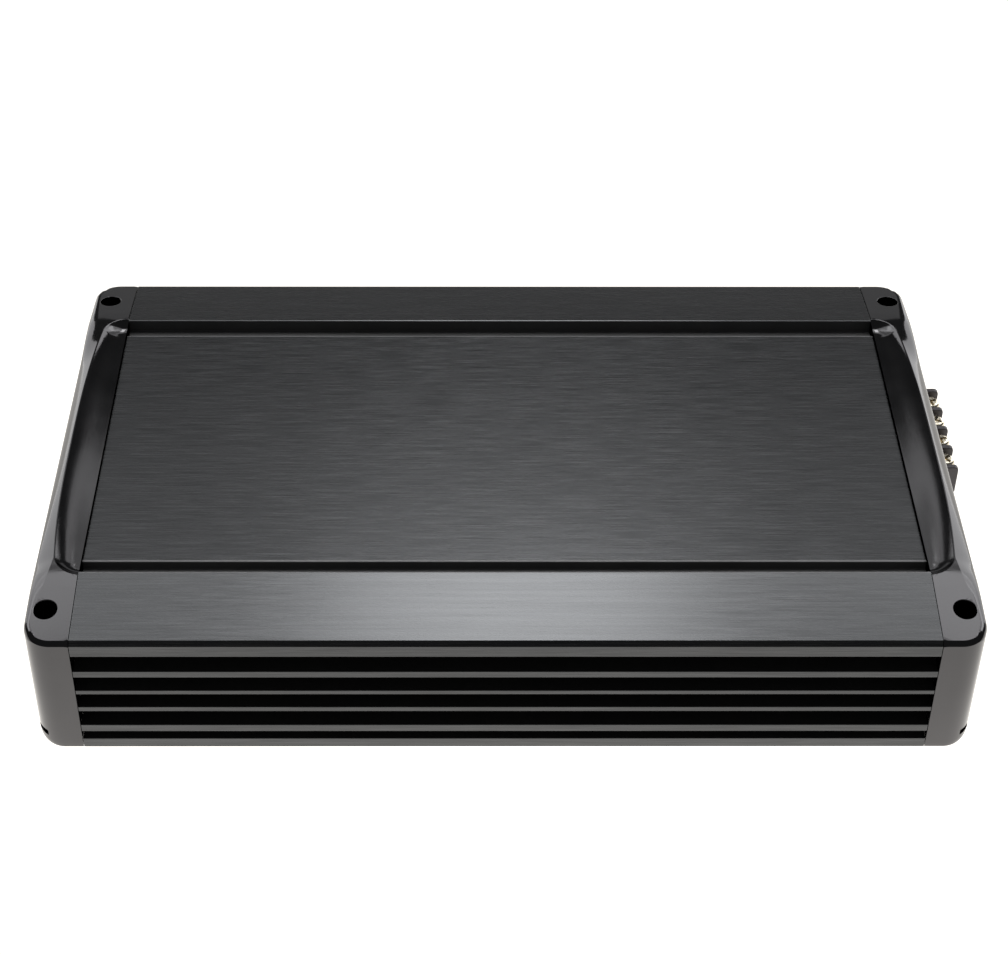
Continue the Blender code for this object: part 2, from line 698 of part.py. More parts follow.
def make_output_stage(side, name):
    """Power transistors against a side wall, pressed on it by a clamp bar with its screws."""
    wall = WALL_INNER - GAP

    def slab(bm, x, half_x, deep, shallow, low_z, high_z):
        ys = sorted((side * deep, side * shallow))
        box(bm, (x - half_x, ys[0], low_z), (x + half_x, ys[1], high_z))

    for i, x in enumerate(TRANSISTOR_XS, 1):
        bm = bmesh.new()
        slab(bm, x, 0.0050, wall, wall - 0.0013, 0.0170, 0.0325)
        transistor = finish(f"transistor_{name}_{i}", bm, "black_plastic")
        body = bmesh.new()
        slab(body, x, 0.0049, wall - 0.0010, wall - 0.0045, 0.0172, 0.0262)
        boolean(transistor, "UNION", body)
        leads = bmesh.new()
        for offset in (-0.00254, 0.0, 0.00254):
            slab(leads, x + offset, 0.0005, wall - 0.0020, wall - 0.0028, PARTS_Z, 0.0180)
        boolean(transistor, "UNION", leads)

    bm = bmesh.new()
    slab(bm, 0.0, 0.0760, wall - 0.0048, wall - 0.0064, 0.0190, 0.0250)
    bar = finish(f"clamp_bar_{name}", bm, "zinc_screw")
    posts = bmesh.new()
    for x in (-0.0310, 0.0310):
        ys = sorted((side * wall, side * (wall - 0.0055)))
        extruded(posts, circle(x, 0.0220, 0.0020, 10), "y", *ys)
    boolean(bar, "UNION", posts)


def main():
    for old in list(bpy.data.objects):
        bpy.data.objects.remove(old, do_unlink=True)
    make_heatsink()
    make_bottom_plate()
    for side, cuts in ((-1, left_cuts()), (1, right_cuts())):
        make_end_cap(side)
        make_end_plate(side, cuts)
        make_end_screws(side)
    make_power_terminal()
    make_fuses()
    make_speaker_socket()
    make_inputs()
    make_controls()
    make_switches()
    make_lamps()
    make_board()
    make_toroid("toroid_transformer", 0.0150, 0.0080, 0.0080, 0.0230, 0.0200, "copper_winding")
    make_toroid("input_choke", 0.0850, 0.0300, 0.0045, 0.0130, 0.0120, "copper_winding")
    make_capacitors()
    make_output_stage(-1, "front")
    make_output_stage(1, "rear")


main()
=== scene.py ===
"""Looks of the car amplifier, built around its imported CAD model.

The brushed extrusion, the two end caps, the terminal strip, the connectors, knobs, fuses and screws are made
again here with rounded edges and fine detail. Each stands for the CAD node in the same place. Shapes are
written in millimetres and turned into metres when a mesh is made.
"""

import math

import bmesh
import bpy
import numpy as np
from mathutils import Matrix, Vector
from mathutils.geometry import delaunay_2d_cdt


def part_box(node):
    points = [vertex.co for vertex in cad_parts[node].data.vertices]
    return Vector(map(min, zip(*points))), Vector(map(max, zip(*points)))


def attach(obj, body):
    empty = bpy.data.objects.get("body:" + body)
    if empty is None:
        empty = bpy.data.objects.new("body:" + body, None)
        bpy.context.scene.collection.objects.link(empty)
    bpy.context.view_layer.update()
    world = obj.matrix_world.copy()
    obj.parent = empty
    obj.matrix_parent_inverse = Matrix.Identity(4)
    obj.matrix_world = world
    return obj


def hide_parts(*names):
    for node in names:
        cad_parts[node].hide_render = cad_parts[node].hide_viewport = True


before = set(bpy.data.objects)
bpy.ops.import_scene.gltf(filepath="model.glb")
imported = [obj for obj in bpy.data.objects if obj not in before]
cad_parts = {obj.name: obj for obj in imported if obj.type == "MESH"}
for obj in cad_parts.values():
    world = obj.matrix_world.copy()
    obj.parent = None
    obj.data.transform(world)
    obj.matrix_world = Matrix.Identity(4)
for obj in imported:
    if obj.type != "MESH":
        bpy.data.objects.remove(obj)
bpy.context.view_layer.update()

MM = 0.001


def box_mm(node):
    """Lowest and highest corner of a CAD node, in millimetres."""
    low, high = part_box(node)
    return low / MM, high / MM


def middle_mm(node):
    """Middle of that box."""
    low, high = box_mm(node)
    return (low + high) / 2


# ------------------------ driving dimensions, in millimetres
SINK_HIGH = box_mm("heatsink")[1]
CAP_LOW, CAP_HIGH = box_mm("end_cap_right")
HALF_LENGTH = SINK_HIGH.x  # half the extrusion
FACE_Y = SINK_HIGH.y  # half the depth
SEAM = 0.1
CAP_INNER_X = CAP_LOW.x - SEAM
CAP_OUTER_X = CAP_HIGH.x
TOP_Z = SINK_HIGH.z

PANEL_Z = 43.56  # section of the extrusion
PANEL_HALF = 53.5
GROOVE_Z = 41.0
RAIL_INNER = 59.3
RAIL_OUTER = 83.3
RAIL_OUTER_Z = 41.6
CHAMFER_Z = 40.3
BEVEL_RUN = 0.6  # bevelled edge of the panel and of each rail; its lighter colour is a painted highlight
BEVEL_FALL = 0.2
RAIL_SLOPE = (TOP_Z - RAIL_OUTER_Z) / (RAIL_OUTER - RAIL_INNER)
SLOTS = ((3.7, 6.6, 4.5), (9.3, 14.8, 9.0), (16.6, 21.6, 9.0), (23.2, 28.3, 9.0), (30.7, 36.4, 9.0))
WALL_INNER = 72.5
CEILING_Z = 39.2
PORT_Y = 61.8
PORT_ZS = (8.2, 32.2)
PORT_RADIUS = 3.4
PORTS = [(y, z) for y in (-PORT_Y, PORT_Y) for z in PORT_ZS]
SCREW_HOLE_RADIUS = 1.75
FLANGE_ZS = (1.8, 5.2)

CORNER_RADIUS = 8.0  # end caps
HOLE_X = 127.7
HOLE_Y = 72.7
HOLE_RADIUS = 3.3
HOLE_LIP = 0.2
HOLE_SIDES = 56
SLOPE_BLEND = 2.5  # half the bend from the level top to the sloped corner
SCOOP_HALF = 60.5
SCOOP_END = 6.8
SCOOP_INNER_Z = 43.5  # floor beside the middle of the panel
SCOOP_CROWN = 0.6  # how much lower the floor is at y = 50
SCOOP_REACH = 4.4  # length of the concave ends
END_POWER = 2.0  # how sharply the floor curves up at the ends and at the side
SIDE_POWER = 2.8
POCKET = (66.0, 4.2, 35.8)  # half width, low z, high z
WINDOW = (57.5, 5.7, 34.3)
FLANGE_X = 126.1
RIM_MIDDLE_X = 130.1  # outer rim of the hollow
RIM_BOW = 2.3
RIM_FILLET = 0.3
EDGE_GAP = 0.12  # level strip between the rim and the rounded outer edge
EDGE_END = (52.0, 76.5, 2.4)  # where that edge narrows, and its width at the corner
EDGE_DROP = 3.2
CHAMFER_TURN = (22, 56)  # degrees round the corner in which the edge becomes the chamfer,
BEVEL_TURN = (30, 56)  # and in which it becomes flat
CREASE = 0.70  # share of the outer edge that is a flat bevel
CREASE_END_FRONT = (52.0, 68.0)  # where the bevel turns into a rounding
CREASE_END_BACK = (38.0, 54.0)
FOOT_HEIGHT = 2.4  # rounded lower edge of the caps
FOOT_TUCK = 0.9
SEAM_BEVELS = (0.04, 0.15)  # bevel along the seam, in the hollow and beside it
POCKET_BEVEL = 0.45  # at the mouth of the pocket
NOTCH_DEPTH = 1.6  # short slot low on each outer corner
NOTCH_Z = (3.5, 5.5)
NOTCH_ANGLES = (12, 55)
PLATE_X = (126.4, 127.6)  # end plates and what stands on them
LAMP_Z = 29.0

SMOOTH_ANGLE = math.radians(32)


# ------------------------ mesh helpers
def placed(name, data):
    """New object in the scene."""
    made = bpy.data.objects.new(name, data)
    bpy.context.scene.collection.objects.link(made)
    return made


def linked(name, bm):
    """Object in metres made from a millimetre mesh."""
    bmesh.ops.remove_doubles(bm, verts=bm.verts, dist=0.0005)
    bmesh.ops.recalc_face_normals(bm, faces=bm.faces)
    bmesh.ops.scale(bm, vec=(MM, MM, MM), verts=bm.verts)
    mesh = bpy.data.meshes.new(name)
    bm.to_mesh(mesh)
    bm.free()
    return placed(name, mesh)


def add_piece(name, bm, slot, replaces=(), body="chassis", materials=(), weighted=True):
    """Turn a millimetre mesh into a piece that rides on a CAD body, in its slot's material or in others."""
    piece = linked(name, bm)
    for material in materials or [FINISHES[slot]]:
        piece.data.materials.append(material)
    soften(piece, weighted)
    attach(piece, body)
    if replaces:
        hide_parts(*replaces)
    return piece


def soften(piece, weighted=True):
    """Smooth shading with sharp edges kept, and normals that follow the large faces."""
    piece.data.shade_smooth()
    piece.data.set_sharp_from_angle(angle=SMOOTH_ANGLE)
    if weighted:
        modifier = piece.modifiers.new("normals", "WEIGHTED_NORMAL")
        modifier.keep_sharp = True
        modifier.weight = 80


def carved(piece, *cutters):
    """Cut millimetre meshes out of a piece."""
    piece.modifiers.clear()
    helpers = [linked("helper", bm) for bm in cutters]
    for helper in helpers:
        modifier = piece.modifiers.new("carve", "BOOLEAN")
        modifier.operation = "DIFFERENCE"
        modifier.solver = "EXACT"
        modifier.object = helper
    bpy.context.view_layer.update()
    graph = bpy.context.evaluated_depsgraph_get()
    result = bpy.data.meshes.new_from_object(piece.evaluated_get(graph), depsgraph=graph)
    piece.modifiers.clear()
    piece.data = result
    for helper in helpers:
        bpy.data.objects.remove(helper, do_unlink=True)
    soften(piece)


def filleted(corners, step=15.0):
    """Points of a closed outline whose corners (u, v, radius) are rounded."""
    points = []
    for i, (u, v, radius) in enumerate(corners):
        here = Vector((u, v))
        if radius == 0:
            points.append((u, v))
            continue
        before = (Vector(corners[i - 1][:2]) - here).normalized()
        after = (Vector(corners[(i + 1) % len(corners)][:2]) - here).normalized()
        angle = before.angle(after)
        start = here + before * (radius / math.tan(angle / 2))
        centre = here + (before + after).normalized() * (radius / math.sin(angle / 2))
        turn = math.pi - angle
        side = 1 if before.x * after.y - before.y * after.x < 0 else -1
        steps = max(2, round(math.degrees(turn) / step))
        spoke = start - centre
        for k in range(steps + 1):
            t = side * turn * k / steps
            points.append((
                centre.x + spoke.x * math.cos(t) - spoke.y * math.sin(t),
                centre.y + spoke.x * math.sin(t) + spoke.y * math.cos(t),
            ))
    return points


def rectangle(low_u, low_v, high_u, high_v, radius):
    """Outline of a rectangle with round corners."""
    corners = [(low_u, low_v), (high_u, low_v), (high_u, high_v), (low_u, high_v)]
    return filleted([(u, v, radius) for u, v in corners])


def opening(low, high, gap, radius):
    """Outline, in Y and Z, of a box with a gap all round it."""
    return rectangle(low.y - gap, low.z - gap, high.y + gap, high.z + gap, radius)


def circle(cu, cv, radius, segments=48):
    angles = [math.tau * i / segments for i in range(segments)]
    return [(cu + radius * math.cos(a), cv + radius * math.sin(a)) for a in angles]


def outward(points):
    """Unit normals of a closed outline at its points, pointing out of it."""
    ring = np.array(points, float)
    ahead = np.roll(ring, -1, 0) - ring
    ahead /= np.maximum(np.linalg.norm(ahead, axis=1), 1e-9)[:, None]
    behind = np.roll(ahead, 1, 0)
    mean = ahead + behind
    mean /= np.maximum(np.linalg.norm(mean, axis=1), 1e-9)[:, None]
    shrink = np.clip((mean * ahead).sum(1), 0.35, 1)
    area = (ring[:, 0] * np.roll(ring[:, 1], -1) - np.roll(ring[:, 0], -1) * ring[:, 1]).sum()
    normals = np.stack([mean[:, 1], -mean[:, 0]], 1) * np.sign(area)
    return normals / shrink[:, None]


PLACES = {
    "x": lambda u, v, w: (w, u, v),
    "y": lambda u, v, w: (u, w, v),
    "z": lambda u, v, w: (u, v, w),
}


def bridged(bm, low, high):
    """Faces between two closed rings with the same number of points."""
    faces = []
    for i in range(len(low)):
        j = (i + 1) % len(low)
        faces.append(bm.faces.new((low[i], low[j], high[j], high[i])))
    return faces


def swept(outline, axis, sections, material_of=None, into=None):
    """Extrude a closed outline along an axis. Sections are (place, inset) pairs from one end to the other."""
    bm = bmesh.new() if into is None else into
    ring = np.array(outline, float)
    normals = outward(outline)
    lengths = np.linalg.norm(np.roll(ring, -1, 0) - ring, axis=1)
    along = np.concatenate([[0.0], np.cumsum(lengths)])
    grain = bm.loops.layers.uv.verify()
    rings = []
    for w, inset in sections:
        moved = ring - normals * inset
        rings.append([bm.verts.new(PLACES[axis](u, v, w)) for u, v in moved])
    for (low, (w0, _)), (high, (w1, _)) in zip(zip(rings, sections), zip(rings[1:], sections[1:])):
        for i, face in enumerate(bridged(bm, low, high)):
            places = ((along[i], w0), (along[i + 1], w0), (along[i + 1], w1), (along[i], w1))
            for loop, place in zip(face.loops, places):
                loop[grain].uv = (place[0] * MM, place[1] * MM)
            if material_of:
                face.material_index = material_of(i)
    bm.faces.new(rings[0])
    bm.faces.new(rings[-1])
    return bm


def rounded_ends(low, high, radius, steps=3):
    """Sections of a block whose two end edges are rounded."""
    if radius == 0:
        return [(low, 0.0), (high, 0.0)]
    first = [(low + radius * (1 - math.cos(a)), radius * (1 - math.sin(a)))
             for a in (math.pi / 2 * k / steps for k in range(steps + 1))]
    return first + [(low + high - w, inset) for w, inset in reversed(first)]


def block(low, high, radius, corner, axis="x"):
    """A box with rounded edges."""
    u, v = {"x": (1, 2), "y": (0, 2), "z": (0, 1)}[axis]
    w = "xyz".index(axis)
    outline = rectangle(low[u], low[v], high[u], high[v], corner)
    return swept(outline, axis, rounded_ends(low[w], high[w], radius))


def turned(profile, axis, centre, segments, wobble=None, into=None):
    """Turn (along, radius) pairs about an axis. A radius of 0 at each end closes the shape."""
    bm = bmesh.new() if into is None else into

    def place(along, radius, angle):
        if wobble and radius > 0:
            radius += wobble(along, angle)
        u, v = radius * math.cos(angle), radius * math.sin(angle)
        x, y, z = (along, u, v) if axis == "x" else (u, v, along)
        return (centre[0] + x, centre[1] + y, centre[2] + z)

    rings = []
    for along, radius in profile:
        if radius == 0:
            rings.append([bm.verts.new(place(along, 0, 0))])
        else:
            angles = [math.tau * i / segments for i in range(segments)]
            rings.append([bm.verts.new(place(along, radius, angle)) for angle in angles])
    for low, high in zip(rings, rings[1:]):
        for i in range(segments):
            j = (i + 1) % segments
            corners = [low[i % len(low)], low[j % len(low)], high[j % len(high)], high[i % len(high)]]
            bm.faces.new(list(dict.fromkeys(corners)))
    return bm


# ------------------------ materials
class Finish:
    """A Principled material with a few procedural layers."""

    def __init__(self, name, colour, metallic=0.0, roughness=0.5):
        self.material = bpy.data.materials.new(name)
        self.material.use_nodes = True
        self.tree = self.material.node_tree
        self.shader = self.tree.nodes["Principled BSDF"]
        self.shade("Metallic", metallic)
        self.shade("Roughness", roughness)
        self.shade("Base Color", (*colour, 1.0))
        self.colour = colour
        self.place = self.add("ShaderNodeTexCoord").outputs["Object"]

    def add(self, kind, inputs=None, **values):
        """New node. An input is given as a value or as the socket that feeds it."""
        node = self.tree.nodes.new(kind)
        for key, value in values.items():
            setattr(node, key, value)
        for key, value in (inputs or {}).items():
            self.feed(node.inputs[key], value)
        return node

    def feed(self, socket, value):
        if isinstance(value, bpy.types.NodeSocket):
            self.tree.links.new(value, socket)
        else:
            socket.default_value = value

    def shade(self, name, value):
        self.feed(self.shader.inputs[name], value)

    def noise(self, scale, detail=3.0, roughness=0.5):
        """Noise with a scale for each axis, in features per metre."""
        place = self.add("ShaderNodeMapping", {"Vector": self.place, "Scale": scale}).outputs["Vector"]
        inputs = {"Vector": place, "Scale": 1.0, "Detail": detail, "Roughness": roughness}
        return self.add("ShaderNodeTexNoise", inputs).outputs["Fac"]

    def spread(self, value, low, high):
        """Map the useful middle of a noise, 0.3 to 0.7, to a range."""
        inputs = {"Value": value, "From Min": 0.3, "From Max": 0.7, "To Min": low, "To Max": high}
        return self.add("ShaderNodeMapRange", inputs).outputs["Result"]

    def calc(self, operation, first, second=0.0):
        return self.add("ShaderNodeMath", {0: first, 1: second}, operation=operation).outputs["Value"]

    def tint(self, factor):
        """Base colour times a factor that varies over the surface."""
        node = self.add("ShaderNodeVectorMath", {0: self.colour, "Scale": factor}, operation="SCALE")
        self.shade("Base Color", node.outputs["Vector"])

    def bump(self, height, depth_mm, strength):
        inputs = {"Strength": strength, "Distance": depth_mm * MM, "Height": height}
        self.shade("Normal", self.add("ShaderNodeBump", inputs).outputs["Normal"])


def brushed_black(name, colour, roughness):
    """Black anodised aluminium brushed along X: long fine streaks in tone, roughness and height."""
    made = Finish(name, colour, 1.0, roughness)
    fine = made.noise((70.0, 3400.0, 3400.0), detail=3.0, roughness=0.6)
    band = made.noise((20.0, 900.0, 900.0), detail=4.0)
    cloud = made.noise((14.0, 22.0, 22.0), detail=2.0)
    streak = made.calc("MULTIPLY", made.spread(fine, 0.82, 1.18), made.spread(band, 0.93, 1.07))
    made.tint(made.calc("MULTIPLY", streak, made.spread(cloud, 0.97, 1.03)))
    made.shade("Roughness", made.spread(fine, roughness - 0.05, roughness + 0.05))
    made.bump(fine, 0.004, 0.35)
    made.shade("Anisotropic", 0.35)
    made.shade("Tangent", made.add("ShaderNodeTangent", direction_type="UV_MAP").outputs["Tangent"])
    return made.material


def layered(name, colour, metallic, roughness, cloud, fine, tone, gloss, relief):
    """Cloudy tone, varied gloss and fine relief. Cloud and fine are (features per metre, detail)."""
    made = Finish(name, colour, metallic, roughness)
    clouds = made.noise((cloud[0],) * 3, detail=cloud[1])
    grain = made.noise((fine[0],) * 3, detail=fine[1])
    made.tint(made.spread(clouds, *tone))
    uneven = clouds if metallic else grain
    made.shade("Roughness", made.spread(uneven, roughness + gloss[0], roughness + gloss[1]))
    made.bump(grain, *relief)
    return made.material


def satin_black(name, colour, roughness):
    """Smooth satin black over metal, with a faint orange peel and cloudy gloss."""
    return layered(name, colour, 1.0, roughness, (60.0, 4.0), (1900.0, 2.0), (0.96, 1.04), (-0.02, 0.03),
                   (0.008, 0.5))


def plastic(name, colour, roughness, grain=0.02):
    """Moulded plastic with a fine spark-eroded grain."""
    return layered(name, colour, 0.0, roughness, (120.0, 3.0), (2800.0, 3.0), (0.90, 1.10), (-0.06, 0.08),
                   (grain, 0.3))


def plated(name, colour, roughness):
    """Plated metal with faint turning marks and dull patches."""
    return layered(name, colour, 1.0, roughness, (500.0, 4.0), (4000.0, 2.0), (0.88, 1.06), (-0.06, 0.12),
                   (0.004, 0.3))


def powder_coat(name, colour, roughness):
    """Powder coat: a fine pebbled surface."""
    return layered(name, colour, 0.0, roughness, (80.0, 3.0), (1800.0, 2.0), (0.9, 1.1), (-0.08, 0.10),
                   (0.02, 0.4))


def tinted_clear(name, colour, roughness=0.12):
    """Tinted clear plastic, as on a fuse or a lamp."""
    made = Finish(name, colour, 0.0, roughness)
    cloud = made.noise((300.0, 300.0, 300.0), detail=2.0)
    made.tint(made.spread(cloud, 0.92, 1.08))
    made.shade("Roughness", made.spread(cloud, roughness, roughness + 0.08))
    made.shade("Transmission Weight", 0.55)
    made.shade("IOR", 1.5)
    return made.material


def wound_copper(name):
    """Enamelled copper winding: fine turns across the ring."""
    made = Finish(name, (0.42, 0.17, 0.07), 1.0, 0.35)
    inputs = {"Vector": made.place, "Scale": 400.0}
    wave = made.add("ShaderNodeTexWave", inputs, wave_type="BANDS", bands_direction="DIAGONAL").outputs["Fac"]
    made.tint(made.spread(wave, 0.7, 1.1))
    made.bump(wave, 0.2, 0.6)
    return made.material


FINISHES = {  # by the slot of the CAD
    "black_anodised": brushed_black("brushed_anodised", (0.085, 0.087, 0.090), 0.26),
    "black_casting": satin_black("satin_casting", (0.090, 0.089, 0.092), 0.11),
    "black_steel": powder_coat("coated_steel", (0.022, 0.022, 0.024), 0.42),
    "terminal_plastic": plastic("terminal_moulding", (0.060, 0.052, 0.058), 0.42),
    "black_plastic": plastic("black_moulding", (0.016, 0.016, 0.017), 0.38),
    "core_grey": plastic("grey_moulding", (0.10, 0.10, 0.105), 0.5),
    "capacitor_sleeve": plastic("capacitor_film", (0.03, 0.035, 0.06), 0.3, 0.005),
    "board_green": plastic("solder_mask", (0.02, 0.11, 0.045), 0.35, 0.005),
    "nickel": plated("nickel_plate", (0.83, 0.76, 0.62), 0.20),
    "zinc_screw": plated("black_zinc", (0.060, 0.060, 0.066), 0.30),
    "copper_winding": wound_copper("enamelled_copper"),
    "fuse_red": tinted_clear("red_fuse_body", (0.75, 0.05, 0.04)),
    "fuse_blue": tinted_clear("blue_fuse_body", (0.05, 0.22, 0.70)),
    "led_green": tinted_clear("green_lens", (0.05, 0.45, 0.08)),
    "led_red": tinted_clear("red_lens", (0.60, 0.03, 0.02)),
}
# Darker colour for the faces inside the fin slots and inside the body: painted shade in the recesses.
PAINTED_SLOT_SHADE = powder_coat("slot_painted_shade", (0.028, 0.028, 0.028), 0.55)
GROOVE_BLACK = powder_coat("groove_black", (0.085, 0.085, 0.086), 0.50)
# Lighter grey for the narrow bevels along the panel and rail edges: a painted highlight.
EDGE_PAINTED_HIGHLIGHT = powder_coat("edge_painted_highlight", (0.19, 0.19, 0.195), 0.40)
WHITE_PLASTIC = plastic("white_moulding", (0.78, 0.76, 0.70), 0.4)
RED_PLASTIC = plastic("red_moulding", (0.55, 0.025, 0.02), 0.4)
WHITE_PRINT = powder_coat("white_print", (0.75, 0.75, 0.73), 0.6)


def dress_nodes():
    """Give every CAD node the procedural finish of its slot."""
    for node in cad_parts.values():
        for slot in node.material_slots:
            slot.material = FINISHES[slot.material.name.split(".")[0]]


# ------------------------ extrusion
def sink_corners():
    """Half of the extrusion's section, as (y, z, radius), from the inner foot out, over the top."""
    fin, edge = 0.25, 0.30
    corners = [(-WALL_INNER, 0.0, 0.2), (-FACE_Y, 0.0, 0.5)]
    for low, high, depth in SLOTS:
        root = -FACE_Y + depth
        corners += [(-FACE_Y, low, fin), (root, low, 0.6), (root, high, 0.6), (-FACE_Y, high, fin)]
    corners += [
        (-FACE_Y, CHAMFER_Z, edge),
        (-RAIL_OUTER, RAIL_OUTER_Z, edge),
        (-RAIL_INNER - BEVEL_RUN, TOP_Z - RAIL_SLOPE * BEVEL_RUN, 0),
        (-RAIL_INNER, TOP_Z - RAIL_SLOPE * BEVEL_RUN - BEVEL_FALL, 0.15),
        (-RAIL_INNER, GROOVE_Z, 0.4),
        (-PANEL_HALF, GROOVE_Z, 0.4),
        (-PANEL_HALF, PANEL_Z - BEVEL_FALL, 0.15),
        (-PANEL_HALF + BEVEL_RUN, PANEL_Z, 0),
    ]
    return corners


def port_arc(z, start):
    """Half a turn round a screw port, from a start angle on."""
    angles = [start + math.pi * k / 8 for k in range(9)]
    return [(-PORT_Y + PORT_RADIUS * math.cos(a), z + PORT_RADIUS * math.sin(a), 0) for a in angles]


def sink_inside():
    """The same for the inside: port, flange, wall, ceiling and upper port."""
    low_z, high_z = PORT_ZS
    return [
        (-WALL_INNER, FLANGE_ZS[0], 0.1),
        (-PORT_Y + PORT_RADIUS, FLANGE_ZS[0], 0.3),
        *port_arc(low_z, 0.0),
        (-PORT_Y - PORT_RADIUS, FLANGE_ZS[1], 0.3),
        (-WALL_INNER, FLANGE_ZS[1], 0.3),
        (-WALL_INNER, CEILING_Z, 0.8),
        (-PORT_Y - PORT_RADIUS, CEILING_Z, 0.8),
        *port_arc(high_z, math.pi),
        (-PORT_Y + PORT_RADIUS, CEILING_Z, 0.8),
    ]


def mirrored(corners):
    return corners + [(-y, z, r) for y, z, r in reversed(corners)]


def make_heatsink():
    outline = filleted(mirrored(sink_corners()) + mirrored(sink_inside())[::-1], step=18.0)
    deepest = FACE_Y - 0.6

    def material_of(i):
        y, z = np.mean([outline[i], outline[(i + 1) % len(outline)]], axis=0)
        in_slot = WALL_INNER + 0.4 < abs(y) < deepest and SLOTS[0][0] - 0.5 < z < SLOTS[-1][1] + 0.5
        in_body = abs(y) <= WALL_INNER + 0.4 and z < CEILING_Z + 0.5
        # faces in the slots and inside the body take the painted shade colour
        if in_slot or in_body:
            return 1
        panel_edge = PANEL_HALF - BEVEL_RUN < abs(y) < PANEL_HALF and z > PANEL_Z - BEVEL_FALL - 0.1
        rail_edge = RAIL_INNER < -y < RAIL_INNER + BEVEL_RUN and z > TOP_Z - 2 * BEVEL_FALL - 0.1
        # the edge bevels take the painted highlight colour
        if panel_edge or rail_edge:
            return 2
        in_groove = PANEL_HALF - 0.1 < abs(y) < RAIL_INNER + 0.1 and z < TOP_Z - BEVEL_FALL
        return 3 if in_groove else 0

    end = HALF_LENGTH + SEAM / 2
    bm = swept(outline, "x", rounded_ends(-end, end, 0.15, 2), material_of)
    finishes = [FINISHES["black_anodised"], PAINTED_SLOT_SHADE, EDGE_PAINTED_HIGHLIGHT, GROOVE_BLACK]
    add_piece("extrusion", bm, "black_anodised", ["heatsink"], materials=finishes)


# ------------------------ end caps
def smoothstep(value, start, end):
    """0 up to the start, 1 from the end on, and smooth between them."""
    t = np.clip((value - start) / (end - start), 0.0, 1.0)
    return t * t * (3 - 2 * t)


def cap_top(y):
    """Height of the cap's top: level beside the panel, turning softly into the slope over the rails."""
    past = np.clip(np.abs(y) - RAIL_INNER + SLOPE_BLEND, 0.0, None)
    bend = np.minimum(past, 2 * SLOPE_BLEND)
    return TOP_Z - RAIL_SLOPE * (bend ** 2 / (4 * SLOPE_BLEND) + past - bend)


def rim_x(y):
    """Outer rim of the hollow, which bows outwards in the middle."""
    return RIM_MIDDLE_X - RIM_BOW * (np.abs(y) / (SCOOP_HALF - SCOOP_END)) ** 3


class CapOutline:
    """The cap's outer boundary in plan, with the width and the drop of its edge at each station."""

    def __init__(self):
        arc_x, arc_y = CAP_OUTER_X - CORNER_RADIUS, FACE_Y - CORNER_RADIUS
        angles = np.linspace(-90, 0, 25)
        front = [(x, -FACE_Y, 0.0, -1.0) for x in np.linspace(CAP_INNER_X, arc_x, 5)[:-1]]
        corner = [(arc_x + CORNER_RADIUS * math.cos(a), -arc_y + CORNER_RADIUS * math.sin(a),
                   math.cos(a), math.sin(a)) for a in np.radians(angles)]
        ys = np.unique(np.concatenate([np.linspace(-arc_y, arc_y, 141)[1:-1], [-RAIL_INNER, RAIL_INNER]]))
        side = [(CAP_OUTER_X, y, 1.0, 0.0) for y in ys]
        half = front + corner
        back = [(x, -y, nx, -ny) for x, y, nx, ny in reversed(half)]
        rows = np.array(half + side + back)
        self.points, self.normals = rows[:, :2], rows[:, 2:]

        y = np.abs(self.points[:, 1])
        facing = np.degrees(np.arccos(np.clip(self.normals[:, 0], -1, 1)))
        start, end, narrow = EDGE_END
        beside_scoop = CAP_OUTER_X - rim_x(np.minimum(y, SCOOP_HALF - SCOOP_END)) - EDGE_GAP
        rounding = beside_scoop + (narrow - beside_scoop) * smoothstep(y, start, end)
        chamfer = smoothstep(facing, *CHAMFER_TURN)
        narrow_drop = cap_top(FACE_Y) - CHAMFER_Z
        self.width = rounding + (FACE_Y - RAIL_OUTER - rounding) * chamfer
        self.drop = EDGE_DROP + (narrow_drop - EDGE_DROP) * chamfer
        in_front = self.points[:, 1] < 0
        begin, finished = np.where(in_front[:, None], CREASE_END_FRONT, CREASE_END_BACK).T
        fade = smoothstep(y, begin, finished)
        self.flat = np.maximum(smoothstep(facing, *BEVEL_TURN), CREASE * (1 - fade))
        self.power = 2.0 + fade

    def ring(self, share):
        """Plan points at a share of the edge's width in from the boundary."""
        return self.points - self.normals * (self.width * share)[:, None]


def edge_fall(share, drop, flat, power):
    """How far the edge has fallen at a share of its width: a rounding of a given power, or a flat chamfer."""
    outward_share = 1 - np.clip(share, 0.0, 1.0)
    rounding = 1 - (1 - outward_share ** power) ** (1 / power)
    return drop * ((1 - flat) * rounding + flat * outward_share)


def scoop_rim():
    """Rim of the hollow on top of the cap, from the seam round and back to the seam, with inward normals."""
    start = SCOOP_HALF - SCOOP_END
    points = []
    for k in range(21):
        angle = math.pi / 2 * (1 - k / 20)
        y = start + SCOOP_END * math.sin(angle)
        points.append((CAP_INNER_X + (rim_x(y) - CAP_INNER_X) * math.cos(angle), -y))
    points += [(rim_x(y), y) for y in np.linspace(-start, start, 96)[1:-1]]
    points += [(x, -y) for x, y in reversed(points[:21])]
    rim = np.array(points)
    along = np.gradient(rim, axis=0)
    along /= np.linalg.norm(along, axis=1)[:, None]
    inward = np.stack([-along[:, 1], along[:, 0]], 1)
    inward[0], inward[-1] = (0.0, 1.0), (0.0, -1.0)
    return rim, inward


